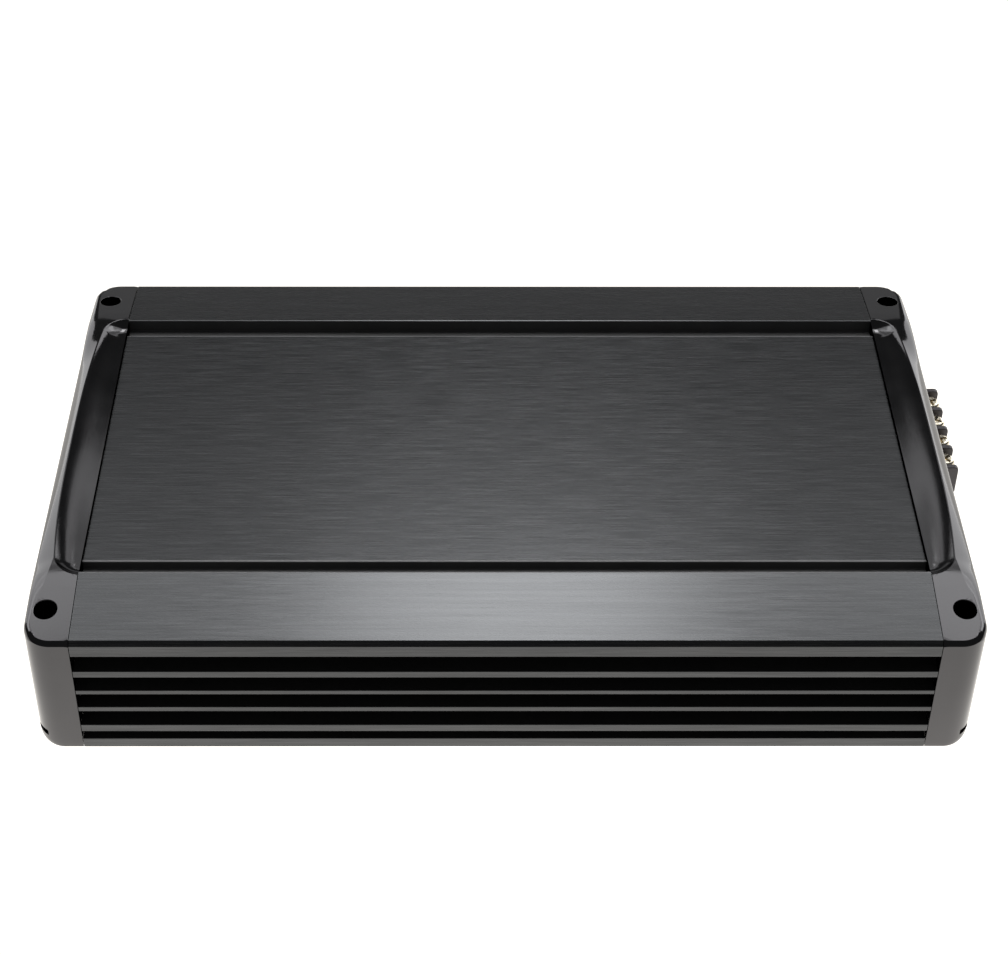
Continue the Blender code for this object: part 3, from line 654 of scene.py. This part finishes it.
def scoop_height(points, rim, inward):
    """Height of the hollow: a floor that is highest halfway along, and curves up to the rim all round."""
    gaps = np.linalg.norm(points[:, None] - rim[None], axis=2)
    near = gaps.argmin(1)
    away = ((points - rim[near]) * inward[near]).sum(1)
    top = cap_top(points[:, 1])
    floor = SCOOP_INNER_Z - SCOOP_CROWN * (points[:, 1] / 50) ** 2
    side = smoothstep(inward[near, 0] ** 2, 0.15, 0.85)
    width = rim_x(points[:, 1]) - CAP_INNER_X
    reach = SCOOP_REACH + (width - SCOOP_REACH) * side
    power = END_POWER + (SIDE_POWER - END_POWER) * side
    past_fillet = np.where(away < RIM_FILLET, away ** 2 / (2 * RIM_FILLET), away - RIM_FILLET / 2)
    share = np.clip(past_fillet / reach, 0, 1)
    return np.where(away > 0, floor + (top - floor) * (1 - share) ** power, top)


def cap_heights(points, outline, rim, inward):
    """Height of the cap's top surface at plan points."""
    gaps = np.linalg.norm(points[:, None] - outline.points[None], axis=2)
    near = gaps.argmin(1)
    away = -((points - outline.points[near]) * outline.normals[near]).sum(1)
    top = cap_top(points[:, 1])
    edge = top - edge_fall(away / outline.width[near], outline.drop[near], outline.flat[near],
                           outline.power[near])
    scoop = scoop_height(points, rim, inward)
    inside = scoop < top - 1e-6
    height = np.where(inside, np.minimum(scoop, edge), edge)
    for y in (-HOLE_Y, HOLE_Y):
        radius = np.linalg.norm(points - (HOLE_X, y), axis=1)
        share = np.clip((HOLE_RADIUS + HOLE_LIP - radius) / HOLE_LIP, 0, 1)
        height = np.minimum(height, height - HOLE_LIP * (1 - np.sqrt(1 - share ** 2)))
    seam = np.where(inside, *SEAM_BEVELS)
    return height - np.clip(seam - (points[:, 0] - CAP_INNER_X), 0, seam)


def triangulated(points, chains):
    """Constrained Delaunay triangles of plan points. Chains are lists of indices that stay edges."""
    edges = [(a, b) for chain in chains for a, b in zip(chain, chain[1:])]
    plan = [Vector(p) for p in points]
    found = delaunay_2d_cdt(plan, edges, [], 0, 1e-5)
    return np.array([tuple(v) for v in found[0]]), [tuple(f) for f in found[2]]


def in_outline(points, loop):
    """Which plan points lie inside a closed loop."""
    inside = np.zeros(len(points), bool)
    x, y = points[:, 0], points[:, 1]
    for (x0, y0), (x1, y1) in zip(loop, np.roll(loop, -1, 0)):
        crosses = (y0 > y) != (y1 > y)
        with np.errstate(divide="ignore", invalid="ignore"):
            at = x0 + (y - y0) * (x1 - x0) / (y1 - y0)
        inside ^= crosses & (x < at)
    return inside


def cap_plan(outline, rim, inward):
    """Plan points and chains for the top of the cap."""
    points, chains = [], []

    def chain(new, closed=False):
        first = len(points)
        points.extend(map(tuple, new))
        indices = list(range(first, len(points)))
        chains.append(indices + indices[:1] if closed else indices)

    edge_shares = (0.0, 0.02, 0.07, 0.15, 0.26, 0.4, 0.55, 0.72, 0.88, 0.96, 0.985, 1.0)
    for share in edge_shares:
        chain(outline.ring(share))
    on_fillet = [RIM_FILLET * share for share in (0.0, 0.25, 0.5, 0.75, 1.0)]
    past_fillet = [0.45, 0.7, 1.0, 1.4, 1.8, 2.2, 2.6, 3.0, 3.5, 4.0, 4.5, 5.2, 6.0]
    for away in on_fillet + past_fillet:
        chain(rim + inward * away)
    for x in (CAP_INNER_X, CAP_INNER_X + SEAM_BEVELS[1]):
        chain([(x, y) for y in np.linspace(-FACE_Y + 1.6, FACE_Y - 1.6, 170)])
    for y in (-HOLE_Y, HOLE_Y):
        for share in (0.0, 0.1, 0.3, 0.55, 0.8, 1.0):
            chain(circle(HOLE_X, y, HOLE_RADIUS + HOLE_LIP * share, HOLE_SIDES), closed=True)
    for y in (-RAIL_INNER, RAIL_INNER):
        chain([(x, y) for x in (CAP_INNER_X, CAP_OUTER_X - 3.5)])
    for x in np.arange(CAP_INNER_X + 1.0, CAP_OUTER_X - 5.0, 1.0):
        points.extend((x, y) for y in np.arange(-SCOOP_HALF + 4.0, SCOOP_HALF - 4.0, 1.1))
    return np.array(points), chains


def wall_levels(outline, top):
    """(height, inset) pairs of the outer wall from the top edge down, one array for each level."""
    upright = np.zeros(len(top))
    levels = [(top + (FOOT_HEIGHT - top) * share, upright) for share in (0.0, 0.2, 0.45, 0.7, 1.0)]
    for k in range(1, 7):
        angle = math.pi / 2 * k / 6
        tuck = FOOT_TUCK * outline.normals[:, 0] ** 2 + 0.3
        levels.append((FOOT_HEIGHT * (1 - math.sin(angle)) + upright, tuck * (1 - math.cos(angle))))
    return levels


def make_cap_body(side, name, outline, rim, inward):
    """Closed skin of an end cap, without the pocket in its end."""
    points, chains = cap_plan(outline, rim, inward)
    plan, triangles = triangulated(points, chains)
    heights = cap_heights(plan, outline, rim, inward)
    centres = np.array([plan[list(t)].mean(0) for t in triangles])
    holes = [np.array(circle(HOLE_X, y, HOLE_RADIUS, HOLE_SIDES)) for y in (-HOLE_Y, HOLE_Y)]
    keep = in_outline(centres, outline.points)
    for hole in holes:
        keep &= ~in_outline(centres, hole)

    bm = bmesh.new()
    top = [bm.verts.new((side * x, y, z)) for (x, y), z in zip(plan, heights)]
    for triangle, kept in zip(triangles, keep):
        if kept:
            bm.faces.new([top[i] for i in triangle])
    rings = []
    for z, inset in wall_levels(outline, cap_heights(outline.points, outline, rim, inward)):
        ring = outline.points - outline.normals * inset[:, None]
        rings.append([bm.verts.new((side * x, y, h)) for (x, y), h in zip(ring, z)])
    for upper, lower in zip(rings, rings[1:]):
        for i in range(len(upper) - 1):
            bm.faces.new((upper[i], upper[i + 1], lower[i + 1], lower[i]))

    foot = np.array([(abs(v.co.x), v.co.y) for v in rings[-1]])
    base_points, base_chains = [], []
    for loop in [foot] + holes:
        first = len(base_points)
        base_points.extend(map(tuple, loop))
        base_chains.append(list(range(first, len(base_points))) + [first])
    base_plan, base_triangles = triangulated(base_points, base_chains)
    base = [bm.verts.new((side * x, y, 0.0)) for x, y in base_plan]
    for triangle in base_triangles:
        centre = base_plan[list(triangle)].mean(0)[None]
        in_hole = any(in_outline(centre, hole)[0] for hole in holes)
        if not in_hole and in_outline(centre, foot)[0]:
            bm.faces.new([base[i] for i in triangle])
    for ring in holes:
        z = cap_heights(ring, outline, rim, inward)
        upper = [bm.verts.new((side * x, v, h)) for (x, v), h in zip(ring, z)]
        lower = [bm.verts.new((side * x, v, 0.0)) for x, v in ring]
        bridged(bm, upper, lower)
    bmesh.ops.remove_doubles(bm, verts=bm.verts, dist=0.002)
    rim_edges = [e for e in bm.edges if e.is_boundary]
    bmesh.ops.holes_fill(bm, edges=rim_edges, sides=0)
    return add_piece(name, bm, "black_casting")


def make_end_cap(side, name):
    outline = CapOutline()
    rim, inward = scoop_rim()
    cap = make_cap_body(side, name, outline, rim, inward)
    half, low, high = POCKET
    mouth = CAP_OUTER_X - 2 * POCKET_BEVEL
    sections = [(FLANGE_X, 0.0), (mouth, 0.0)]
    sections += [(x, -POCKET_BEVEL) for x in (mouth + POCKET_BEVEL, CAP_OUTER_X + 1)]
    sections = [(side * x, inset) for x, inset in sections]
    pocket = swept(rectangle(-half, low, half, high, 2.0), "x", sections)
    half, low, high = WINDOW
    ends = [(side * (CAP_INNER_X - 1), 0.0), (side * (FLANGE_X + 1), 0.0)]
    window = swept(rectangle(-half, low, half, high, 2.0), "x", ends)
    screws = bmesh.new()
    for y, z in PORTS:
        swept(circle(y, z, SCREW_HOLE_RADIUS, 24), "x", ends, into=screws)
    carved(cap, pocket, window, screws, corner_notch(side, -1), corner_notch(side, 1))
    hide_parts(f"end_cap_{'right' if side > 0 else 'left'}")


def corner_notch(side, sign):
    """Cutter for the short slot low on an outer corner."""
    cx, cy = side * (CAP_OUTER_X - CORNER_RADIUS), sign * (FACE_Y - CORNER_RADIUS)
    outline = []
    there = np.radians(np.linspace(*NOTCH_ANGLES, 9))
    for radius, angles in ((CORNER_RADIUS + 1.0, there), (CORNER_RADIUS - NOTCH_DEPTH, there[::-1])):
        outline += [(cx + side * radius * math.cos(a), cy + sign * radius * math.sin(a)) for a in angles]
    return swept(outline, "z", rounded_ends(*NOTCH_Z, 0.3, 2))


# ------------------------ screws
def cross(length, width, depth, axis, centre, top, sign, turn=0.0):
    """Cutters for a cross recess that narrows as it goes down."""
    cutters = []
    for angle in (turn, turn + math.pi / 2):
        bm = bmesh.new()
        rings = []
        for drop, shrink in ((-0.3, 1.06), (0.0, 1.0), (depth, 0.55)):
            half_l, half_w = length / 2 * shrink, width / 2 * (0.4 + 0.6 * shrink)
            ring = []
            for u, v in ((-half_l, -half_w), (half_l, -half_w), (half_l, half_w), (-half_l, half_w)):
                ru = u * math.cos(angle) - v * math.sin(angle) + centre[0]
                rv = u * math.sin(angle) + v * math.cos(angle) + centre[1]
                ring.append(bm.verts.new(PLACES[axis](ru, rv, top - sign * drop)))
            rings.append(ring)
        for low, high in zip(rings, rings[1:]):
            bridged(bm, low, high)
        bm.faces.new(rings[0])
        bm.faces.new(rings[-1])
        cutters.append(bm)
    return cutters


def domed(seat, top, radius, edge, steps=5):
    """(along, radius) pairs of a pan head, from the seat's rim to the middle of its top."""
    pairs = [(seat, radius - 0.05), (seat + math.copysign(0.08, top - seat), radius), (edge, radius)]
    for k in range(1, steps + 1):
        angle = math.pi / 2 * k / steps
        shrink = 0.62 + 0.38 * math.cos(angle)
        pairs.append((edge + (top - edge) * math.sin(angle), radius * shrink))
    return pairs + [(top, 0)]


def make_end_screws():
    seat, top = PLATE_X[1] + 0.3, 129.9
    profile = [(seat - 20.0, 0), (seat - 20.0, 0.8), (seat - 19.0, 1.45), (seat, 1.45)]
    profile += domed(seat, top, 2.8, seat + 0.9)
    for side, word in ((-1, "left"), (1, "right")):
        for i, (y, z) in enumerate(PORTS, 1):
            bm = turned([(side * a, r) for a, r in profile], "x", (0, y, z), 32)
            name = f"end_screw_{word}_{i}"
            screw = add_piece(f"screw_{word}_{i}", bm, "zinc_screw", [name])
            turn = math.radians(25 + 37 * i + 11 * side)
            carved(screw, *cross(3.3, 0.8, 1.3, "x", (y, z), side * top, side, turn))


def make_bottom():
    """Bottom plate with its countersunk screws."""
    bm = block(*box_mm("bottom_plate"), 0.15, 0.4, "z")
    plate = add_piece("bottom_sheet", bm, "black_steel", ["bottom_plate"])
    sink = [(-0.5, 0), (-0.5, 3.6), (1.3, 1.8), (2.5, 1.8), (2.5, 0)]
    profile = [(0.1, 0), (0.1, 2.62), (0.2, 2.7), (1.3, 1.45), (8.2, 1.45), (9.0, 0.8), (9.0, 0)]
    sinks = bmesh.new()
    for i in range(1, 5):
        name = f"bottom_screw_{i}"
        x, y, _ = middle_mm(name)
        turned(sink, "z", (x, y, 0), 40, into=sinks)
        bm = turned(profile, "z", (x, y, 0), 32)
        screw = add_piece(f"sunk_screw_{i}", bm, "zinc_screw", [name])
        carved(screw, *cross(3.2, 0.75, 0.9, "z", (x, y), 0.1, -1, math.radians(20 * i)))
    carved(plate, sinks)


# ------------------------ right end
def make_terminal():
    """Barrier strip: deck, rear body, round-nosed dividers, contact plates and clamp screws."""
    low, high = box_mm("power_terminal")
    deck_z, plate_z, nose_x = 18.4, 20.1, 129.0
    pitch, thick = 9.6, 1.8
    bm = block((nose_x, low.y + 0.1, low.z), (high.x - 0.3, high.y - 0.1, deck_z), 0.2, 0.3)
    add_piece("terminal_deck", bm, "terminal_plastic", ["power_terminal"])
    bm = block((low.x, low.y + 0.1, low.z), (nose_x + 0.4, high.y - 0.1, high.z - 0.1), 0.3, 0.4)
    add_piece("terminal_body", bm, "terminal_plastic")
    divider = filleted([
        (nose_x - 0.3, low.z + 0.4, 0), (high.x, low.z + 0.4, 0.3),
        (high.x, high.z, 1.3), (nose_x - 0.3, high.z, 0.3),
    ])
    for i in range(5):
        start = low.y + pitch * i
        bm = swept(divider, "y", rounded_ends(start, start + thick, 0.3, 3))
        add_piece(f"terminal_divider_{i + 1}", bm, "terminal_plastic")
    for i, turn in enumerate((38, 12, 62, 22), 1):
        name = f"terminal_screw_{i}"
        x, y, _ = middle_mm(name)
        bm = block((nose_x + 0.5, y - 3.6, deck_z + 0.2), (high.x - 0.5, y + 3.6, plate_z), 0.15, 0.4, "z")
        add_piece(f"contact_plate_{i}", bm, "nickel")
        tip, top = box_mm(name)[0].z, box_mm(name)[1].z
        seat = top - 3.0
        profile = [
            (tip, 0), (tip, 1.5), (seat, 1.5), (seat, 3.15), (seat + 0.15, 3.3),
            (seat + 0.65, 3.3), (seat + 0.8, 3.15), (seat + 0.8, 2.9),
        ]
        profile += domed(seat + 0.85, top, 3.08, top - 1.1)
        bm = turned(profile, "z", (x, y, 0), 48)
        screw = add_piece(f"clamp_screw_{i}", bm, "nickel", [name], name)
        carved(screw, *cross(4.6, 0.95, 1.5, "z", (x, y), top, 1, math.radians(turn)))


def make_fuses():
    """Fuse holder and its two blade fuses, each with a narrower grip."""
    low, high = box_mm("fuse_holder")
    bm = block(low, high, 0.3, 0.5)
    holder = add_piece("fuse_carrier", bm, "black_plastic", ["fuse_holder"])
    cutters = []
    root_x, shoulder_x, step = 119.4, 129.4, 0.6
    for i, slot in enumerate(("fuse_red", "fuse_blue"), 1):
        name = f"fuse_{i}"
        tip, end = box_mm(name)
        middle = (tip + end) / 2
        cavity = [(119.0, 0.0), (high.x - 0.4, 0.0), (high.x + 0.2, -0.5)]
        cutters.append(swept(opening(tip, end, 0.3, 0.4), "x", cavity))
        profile = [(root_x, 0, 0.5), (shoulder_x, 0, 0.4), (shoulder_x + 0.5, step, 0.3), (end.x, step, 0.8)]
        corners = [(x, tip.y + inset, radius) for x, inset, radius in profile]
        corners += [(x, end.y - inset, radius) for x, inset, radius in reversed(profile)]
        body = swept(filleted(corners), "z", rounded_ends(tip.z, end.z, 0.5, 3))
        add_piece(f"fuse_body_{i}", body, slot, [name], name)
        for k, y in enumerate((middle.y - 6.3, middle.y + 6.3), 1):
            blade = block((tip.x, y - 2.6, middle.z - 0.4), (119.6, y + 2.6, middle.z + 0.4), 0.15, 0.1)
            add_piece(f"fuse_blade_{i}_{k}", blade, "nickel", body=name, materials=[FINISHES["zinc_screw"]])
            cutters.append(block((112.2, y - 2.9, middle.z - 0.7), (120.0, y + 2.9, middle.z + 0.7), 0, 0))
    carved(holder, *cutters)


def make_speaker_socket():
    low, high = box_mm("speaker_socket")
    bm = block(low, high, 0.3, 0.6)
    socket = add_piece("speaker_shell", bm, "black_plastic", ["speaker_socket"])
    wall = 1.8
    cavity = [(117.0, 0.0), (high.x - 0.4, 0.0), (high.x + 0.2, -0.5)]
    carved(socket, swept(opening(low, high, -wall, 0.5), "x", cavity))
    middle = (low + high) / 2
    pitch, row_z, half = 4.6, 2.6, 0.5
    for row in (-1, 1):
        for k in range(5):
            y, z = middle.y + (k - 2) * pitch, middle.z + row * row_z
            pin = block((116.6, y - half, z - half), (126.0, y + half, z + half), 0.25, 0.15)
            add_piece(f"socket_pin_{k + 1}_{'low' if row < 0 else 'high'}", pin, "nickel")


def make_end_plate(side, name, cuts):
    half, low, high = POCKET
    outline = rectangle(-half + 0.3, low + 0.3, half - 0.3, high - 0.3, 1.9)
    bm = swept(outline, "x", [(side * x, i) for x, i in rounded_ends(*PLATE_X, 0.12, 2)])
    plate = add_piece(f"{name}_sheet", bm, "black_steel", [name])
    ends = [(side * (PLATE_X[0] - 1), 0.0), (side * (PLATE_X[1] + 1), 0.0)]
    holes = bmesh.new()
    for cut in cuts + [circle(y, z, SCREW_HOLE_RADIUS, 24) for y, z in PORTS]:
        swept(cut, "x", ends, into=holes)
    carved(plate, holes)


def make_right_plate():
    nodes = ("power_terminal", "fuse_holder", "speaker_socket")
    make_end_plate(1, "end_plate_right", [opening(*box_mm(node), 0.3, 0.3) for node in nodes])


# ------------------------ left end
def make_left_plate():
    cuts = []
    for i in range(1, 5):
        low, high = box_mm(f"input_jack_{i}")
        middle = (low + high) / 2
        cuts.append(circle(middle.y, middle.z, (high.z - low.z) / 2 + 0.3, 48))
        middle = middle_mm(f"knob_{i}")
        cuts.append(circle(middle.y, middle.z, 1.8, 32))
    for i in (1, 2):
        middle = middle_mm(f"switch_nub_{i}")
        cuts.append(rectangle(middle.y - 4.6, middle.z - 1.8, middle.y + 4.6, middle.z + 1.8, 0.3))
        cuts.append(circle(middle.y, LAMP_Z, 1.8, 32))
    make_end_plate(-1, "end_plate_left", cuts)


def make_jacks():
    for i in range(1, 5):
        node = f"input_jack_{i}"
        low, high = box_mm(node)
        middle = (low + high) / 2
        outer, face, root = (high.z - low.z) / 2 - 0.02, low.x, high.x
        core = outer - 0.82
        barrel = [
            (root, 0), (root, outer), (face + 3.0, outer), (face + 2.85, outer - 0.15),
            (face + 0.4, outer - 0.15), (face, outer - 0.4), (face, outer - 0.62),
            (face + 0.25, outer - 0.8), (face + 6.0, outer - 0.8), (face + 6.0, 0),
        ]
        insert = [
            (face + 6.5, 0), (face + 6.5, core), (face + 0.5, core), (face + 0.3, core - 0.2),
            (face + 0.3, 1.75), (face + 0.45, 1.6), (face + 5.8, 1.6), (face + 5.8, 0),
        ]
        contact = [
            (face + 6.4, 0), (face + 6.4, 1.58), (face + 1.0, 1.58), (face + 1.0, 1.3),
            (face + 5.6, 1.3), (face + 5.6, 0),
        ]
        ring_colour = WHITE_PLASTIC if i % 2 else RED_PLASTIC
        for part, profile, sides, replaced, materials in (
            ("barrel", barrel, 64, [node], []),
            ("insert", insert, 48, [], [ring_colour]),
            ("contact", contact, 32, [], []),
        ):
            bm = turned(profile, "x", (0, middle.y, middle.z), sides)
            add_piece(f"jack_{part}_{i}", bm, "nickel", replaced, materials=materials)


def make_knobs():
    """Fluted knobs with a pointer line on the face, and the scale printed round them."""
    for i in range(1, 5):
        node = f"knob_{i}"
        low, high = box_mm(node)
        middle = (low + high) / 2
        radius, face, back = 3.68, low.x, -PLATE_X[1] - 0.3

        def flutes(along, angle):
            return -0.08 * (1 + math.cos(18 * angle)) if face + 0.6 < along < back else 0.0

        profile = [
            (high.x, 0), (high.x, 1.3), (high.x - 0.2, 1.5), (back + 0.01, 1.5),
            (back - 0.001, radius - 0.1), (back - 0.15, radius), (face + 0.9, radius),
            (face + 0.5, radius - 0.12), (face + 0.15, radius - 0.4), (face, radius - 0.8), (face, 0),
        ]
        bm = turned(profile, "x", (0, middle.y, middle.z), 144, flutes)
        knob = add_piece(f"knob_grip_{i}", bm, "black_plastic", [node], node)
        y, z = middle.y, middle.z
        carved(knob, block((face - 1.0, y - 0.35, z + 0.4), (face + 0.45, y + 0.35, z + 4), 0, 0))
        line = block((face + 0.25, y - 0.3, z + 0.5), (face + 0.6, y + 0.3, z + 2.9), 0.05, 0.05)
        add_piece(f"knob_pointer_{i}", line, "black_plastic", body=node, materials=[WHITE_PRINT])
        for k in range(11):
            angle = math.radians(-150 + 30 * k)
            make_tick(f"dial_tick_{i}_{k + 1}", middle, angle, 4.35, 5.25 if k % 5 == 0 else 4.85)


def make_tick(name, middle, angle, inner, outer):
    """One printed mark of a dial, a hair proud of the plate."""
    across, up = math.sin(angle), math.cos(angle)
    outline = []
    for reach, half in ((inner, -0.11), (outer, -0.11), (outer, 0.11), (inner, 0.11)):
        outline.append((middle.y + across * reach + up * half, middle.z + up * reach - across * half))
    bm = swept(outline, "x", [(-PLATE_X[1] - 0.02, 0.0), (-PLATE_X[1] + 0.05, 0.0)])
    add_piece(name, bm, "black_steel", materials=[WHITE_PRINT], weighted=False)


def make_switch(number):
    node = f"switch_nub_{number}"
    low, high = box_mm(node)
    corners = [(high.x, low.y, 0.1), (low.x + 0.5, low.y, 0.3)]
    ridges = 4
    pitch = (high.y - low.y) / ridges
    for k in range(ridges):
        y = low.y + pitch * k
        corners += [(low.x + (0.45 if k else 0.25), y + 0.05, 0.05), (low.x, y + pitch / 2, 0.12)]
    corners += [(low.x + 0.25, high.y - 0.05, 0.05), (low.x + 0.5, high.y, 0.1), (high.x, high.y, 0.1)]
    bm = swept(filleted(corners), "z", rounded_ends(low.z, high.z, 0.2, 2))
    add_piece(f"slide_grip_{number}", bm, "black_plastic", [node], node)


def make_lamp(lamp):
    """Round lens, with one block standing for its two legs, on a black post."""
    low, high = box_mm(lamp)
    y = (low.y + high.y) / 2
    radius = 1.5
    dome_x = low.x + radius
    angles = np.radians((15, 30, 45, 60, 75))
    profile = [(-121.0, 0), (-121.0, radius), (dome_x, radius)]
    profile += [(dome_x - radius * math.sin(a), radius * math.cos(a)) for a in angles]
    bm = turned(profile + [(low.x, 0)], "x", (0, y, LAMP_Z), 32)
    add_piece(f"lens_{lamp}", bm, lamp.replace("lamp", "led"), [lamp])
    legs = block((-121.2, y - 0.9, LAMP_Z - 0.6), (-115.7, y + 0.9, LAMP_Z + 0.6), 0.1, 0.1)
    add_piece(f"legs_{lamp}", legs, "nickel")
    post = block((-116.5, y - 1.1, low.z), (-115.7, y + 1.1, LAMP_Z + 0.8), 0.1, 0.1)
    add_piece(f"post_{lamp}", post, "black_plastic")


# ------------------------ stage, lights and camera
def even_glow_and_painted_light_pool(made):
    """Light that the paper gives off: an even glow everywhere, plus a painted pool of light round the foot of
    the object, halved every 22 mm away.
    """
    foot_x, foot_y, halved = 0.125, 0.078, 0.022
    # even emission, and the strength of the painted pool of light at the foot
    everywhere, painted_pool_strength = 0.86, 0.85
    parts = made.add("ShaderNodeSeparateXYZ", {"Vector": made.place})
    aside = made.calc("MAXIMUM", made.calc("SUBTRACT", made.calc("ABSOLUTE", parts.outputs["X"]), foot_x))
    ahead = made.calc("MAXIMUM", made.calc("SUBTRACT", made.calc("ABSOLUTE", parts.outputs["Y"]), foot_y))
    away = made.calc("SQRT", made.calc("ADD", made.calc("POWER", aside, 2.0), made.calc("POWER", ahead, 2.0)))
    near = made.calc("POWER", 0.5, made.calc("DIVIDE", away, halved))
    return made.calc("ADD", made.calc("MULTIPLY", near, painted_pool_strength), everywhere)


def make_floor():
    bm = bmesh.new()
    bmesh.ops.create_grid(bm, x_segments=8, y_segments=8, size=12.0)
    mesh = bpy.data.meshes.new("floor")
    bm.to_mesh(mesh)
    bm.free()
    floor = placed("floor", mesh)
    floor.location.z = -0.0002
    made = Finish("floor_paper", (0.36, 0.355, 0.345), 0.0, 0.9)
    made.tint(made.spread(made.noise((3.0, 3.0, 3.0)), 0.995, 1.005))
    made.shade("Specular IOR Level", 0.1)
    made.shade("Emission Color", (1.0, 0.965, 0.91, 1.0))
    # the floor's emission carries a painted pool of light round the object's foot
    made.shade("Emission Strength", even_glow_and_painted_light_pool(made))
    mesh.materials.append(made.material)


def softbox(name, azimuth, elevation, distance, width, height, radiance, level=False):
    """Area light aimed at the object, or straight down if level. Azimuth 0 is behind the object, 90 at +X."""
    a, e = math.radians(azimuth), math.radians(elevation)
    towards = Vector((math.sin(a) * math.cos(e), math.cos(a) * math.cos(e), math.sin(e)))
    data = bpy.data.lights.new(name, "AREA")
    data.shape = "RECTANGLE"
    data.size, data.size_y = width, height
    data.energy = radiance * math.pi * width * height
    light = placed(name, data)
    light.location = towards * distance
    if not level:
        light.rotation_mode = "QUATERNION"
        light.rotation_quaternion = towards.to_track_quat("Z", "Y")
    light.visible_camera = False


def make_lights():
    softbox("key_strip", 2.5, 63, 1.15, 0.28, 0.50, 4.6)
    softbox("ceiling_near", 0, 68, 1.40, 2.6, 0.62, 1.2, level=True)
    softbox("ceiling_far", 0, 50, 1.70, 2.9, 0.50, 0.50, level=True)
    softbox("ceiling_edge", 0, 43.2, 1.80, 2.9, 0.10, 0.95)
    softbox("side_left", -47, 16, 1.2, 0.72, 0.72, 1.8)
    softbox("side_right", 47, 16, 1.2, 0.72, 0.72, 2.0)
    softbox("high_left", -56, 43, 1.2, 0.56, 0.44, 1.5)
    softbox("high_right", 56, 43, 1.2, 0.56, 0.44, 1.9)
    softbox("shoulder_left", -34, 56, 1.2, 0.26, 0.24, 0.7)
    softbox("shoulder_right", 34, 56, 1.2, 0.26, 0.24, 1.0)
    softbox("low_back", 0, 17, 1.6, 1.0, 0.35, 0.30)
    world = bpy.data.worlds.new("studio")
    world.use_nodes = True
    background = world.node_tree.nodes["Background"]
    background.inputs["Color"].default_value = (0.97, 0.98, 1.0, 1.0)
    background.inputs["Strength"].default_value = 0.07
    bpy.context.scene.world = world
    bpy.context.scene.view_settings.view_transform = "Standard"


def make_camera():
    data = bpy.data.cameras.new("camera")
    data.lens = 77.86
    data.sensor_width = 36.0
    data.shift_x = 0.0302
    data.shift_y = -0.0305
    camera = placed("camera", data)
    pitch, yaw, roll = math.radians(39.748), math.radians(0.268), math.radians(0.179)
    turn = (Matrix.Rotation(-yaw, 4, "Z") @ Matrix.Rotation(math.pi / 2 - pitch, 4, "X")
            @ Matrix.Rotation(roll, 4, "Z"))
    camera.matrix_world = Matrix.Translation((-0.01108, -0.50910, 0.46487)) @ turn
    bpy.context.scene.camera = camera


dress_nodes()
make_camera()
make_floor()
make_lights()
make_heatsink()
make_end_cap(-1, "cap_left")
make_end_cap(1, "cap_right")
make_end_screws()
make_bottom()
make_terminal()
make_fuses()
make_speaker_socket()
make_right_plate()
make_left_plate()
make_jacks()
make_knobs()
for number, lamp in enumerate(("lamp_green", "lamp_red"), 1):
    make_switch(number)
    make_lamp(lamp)
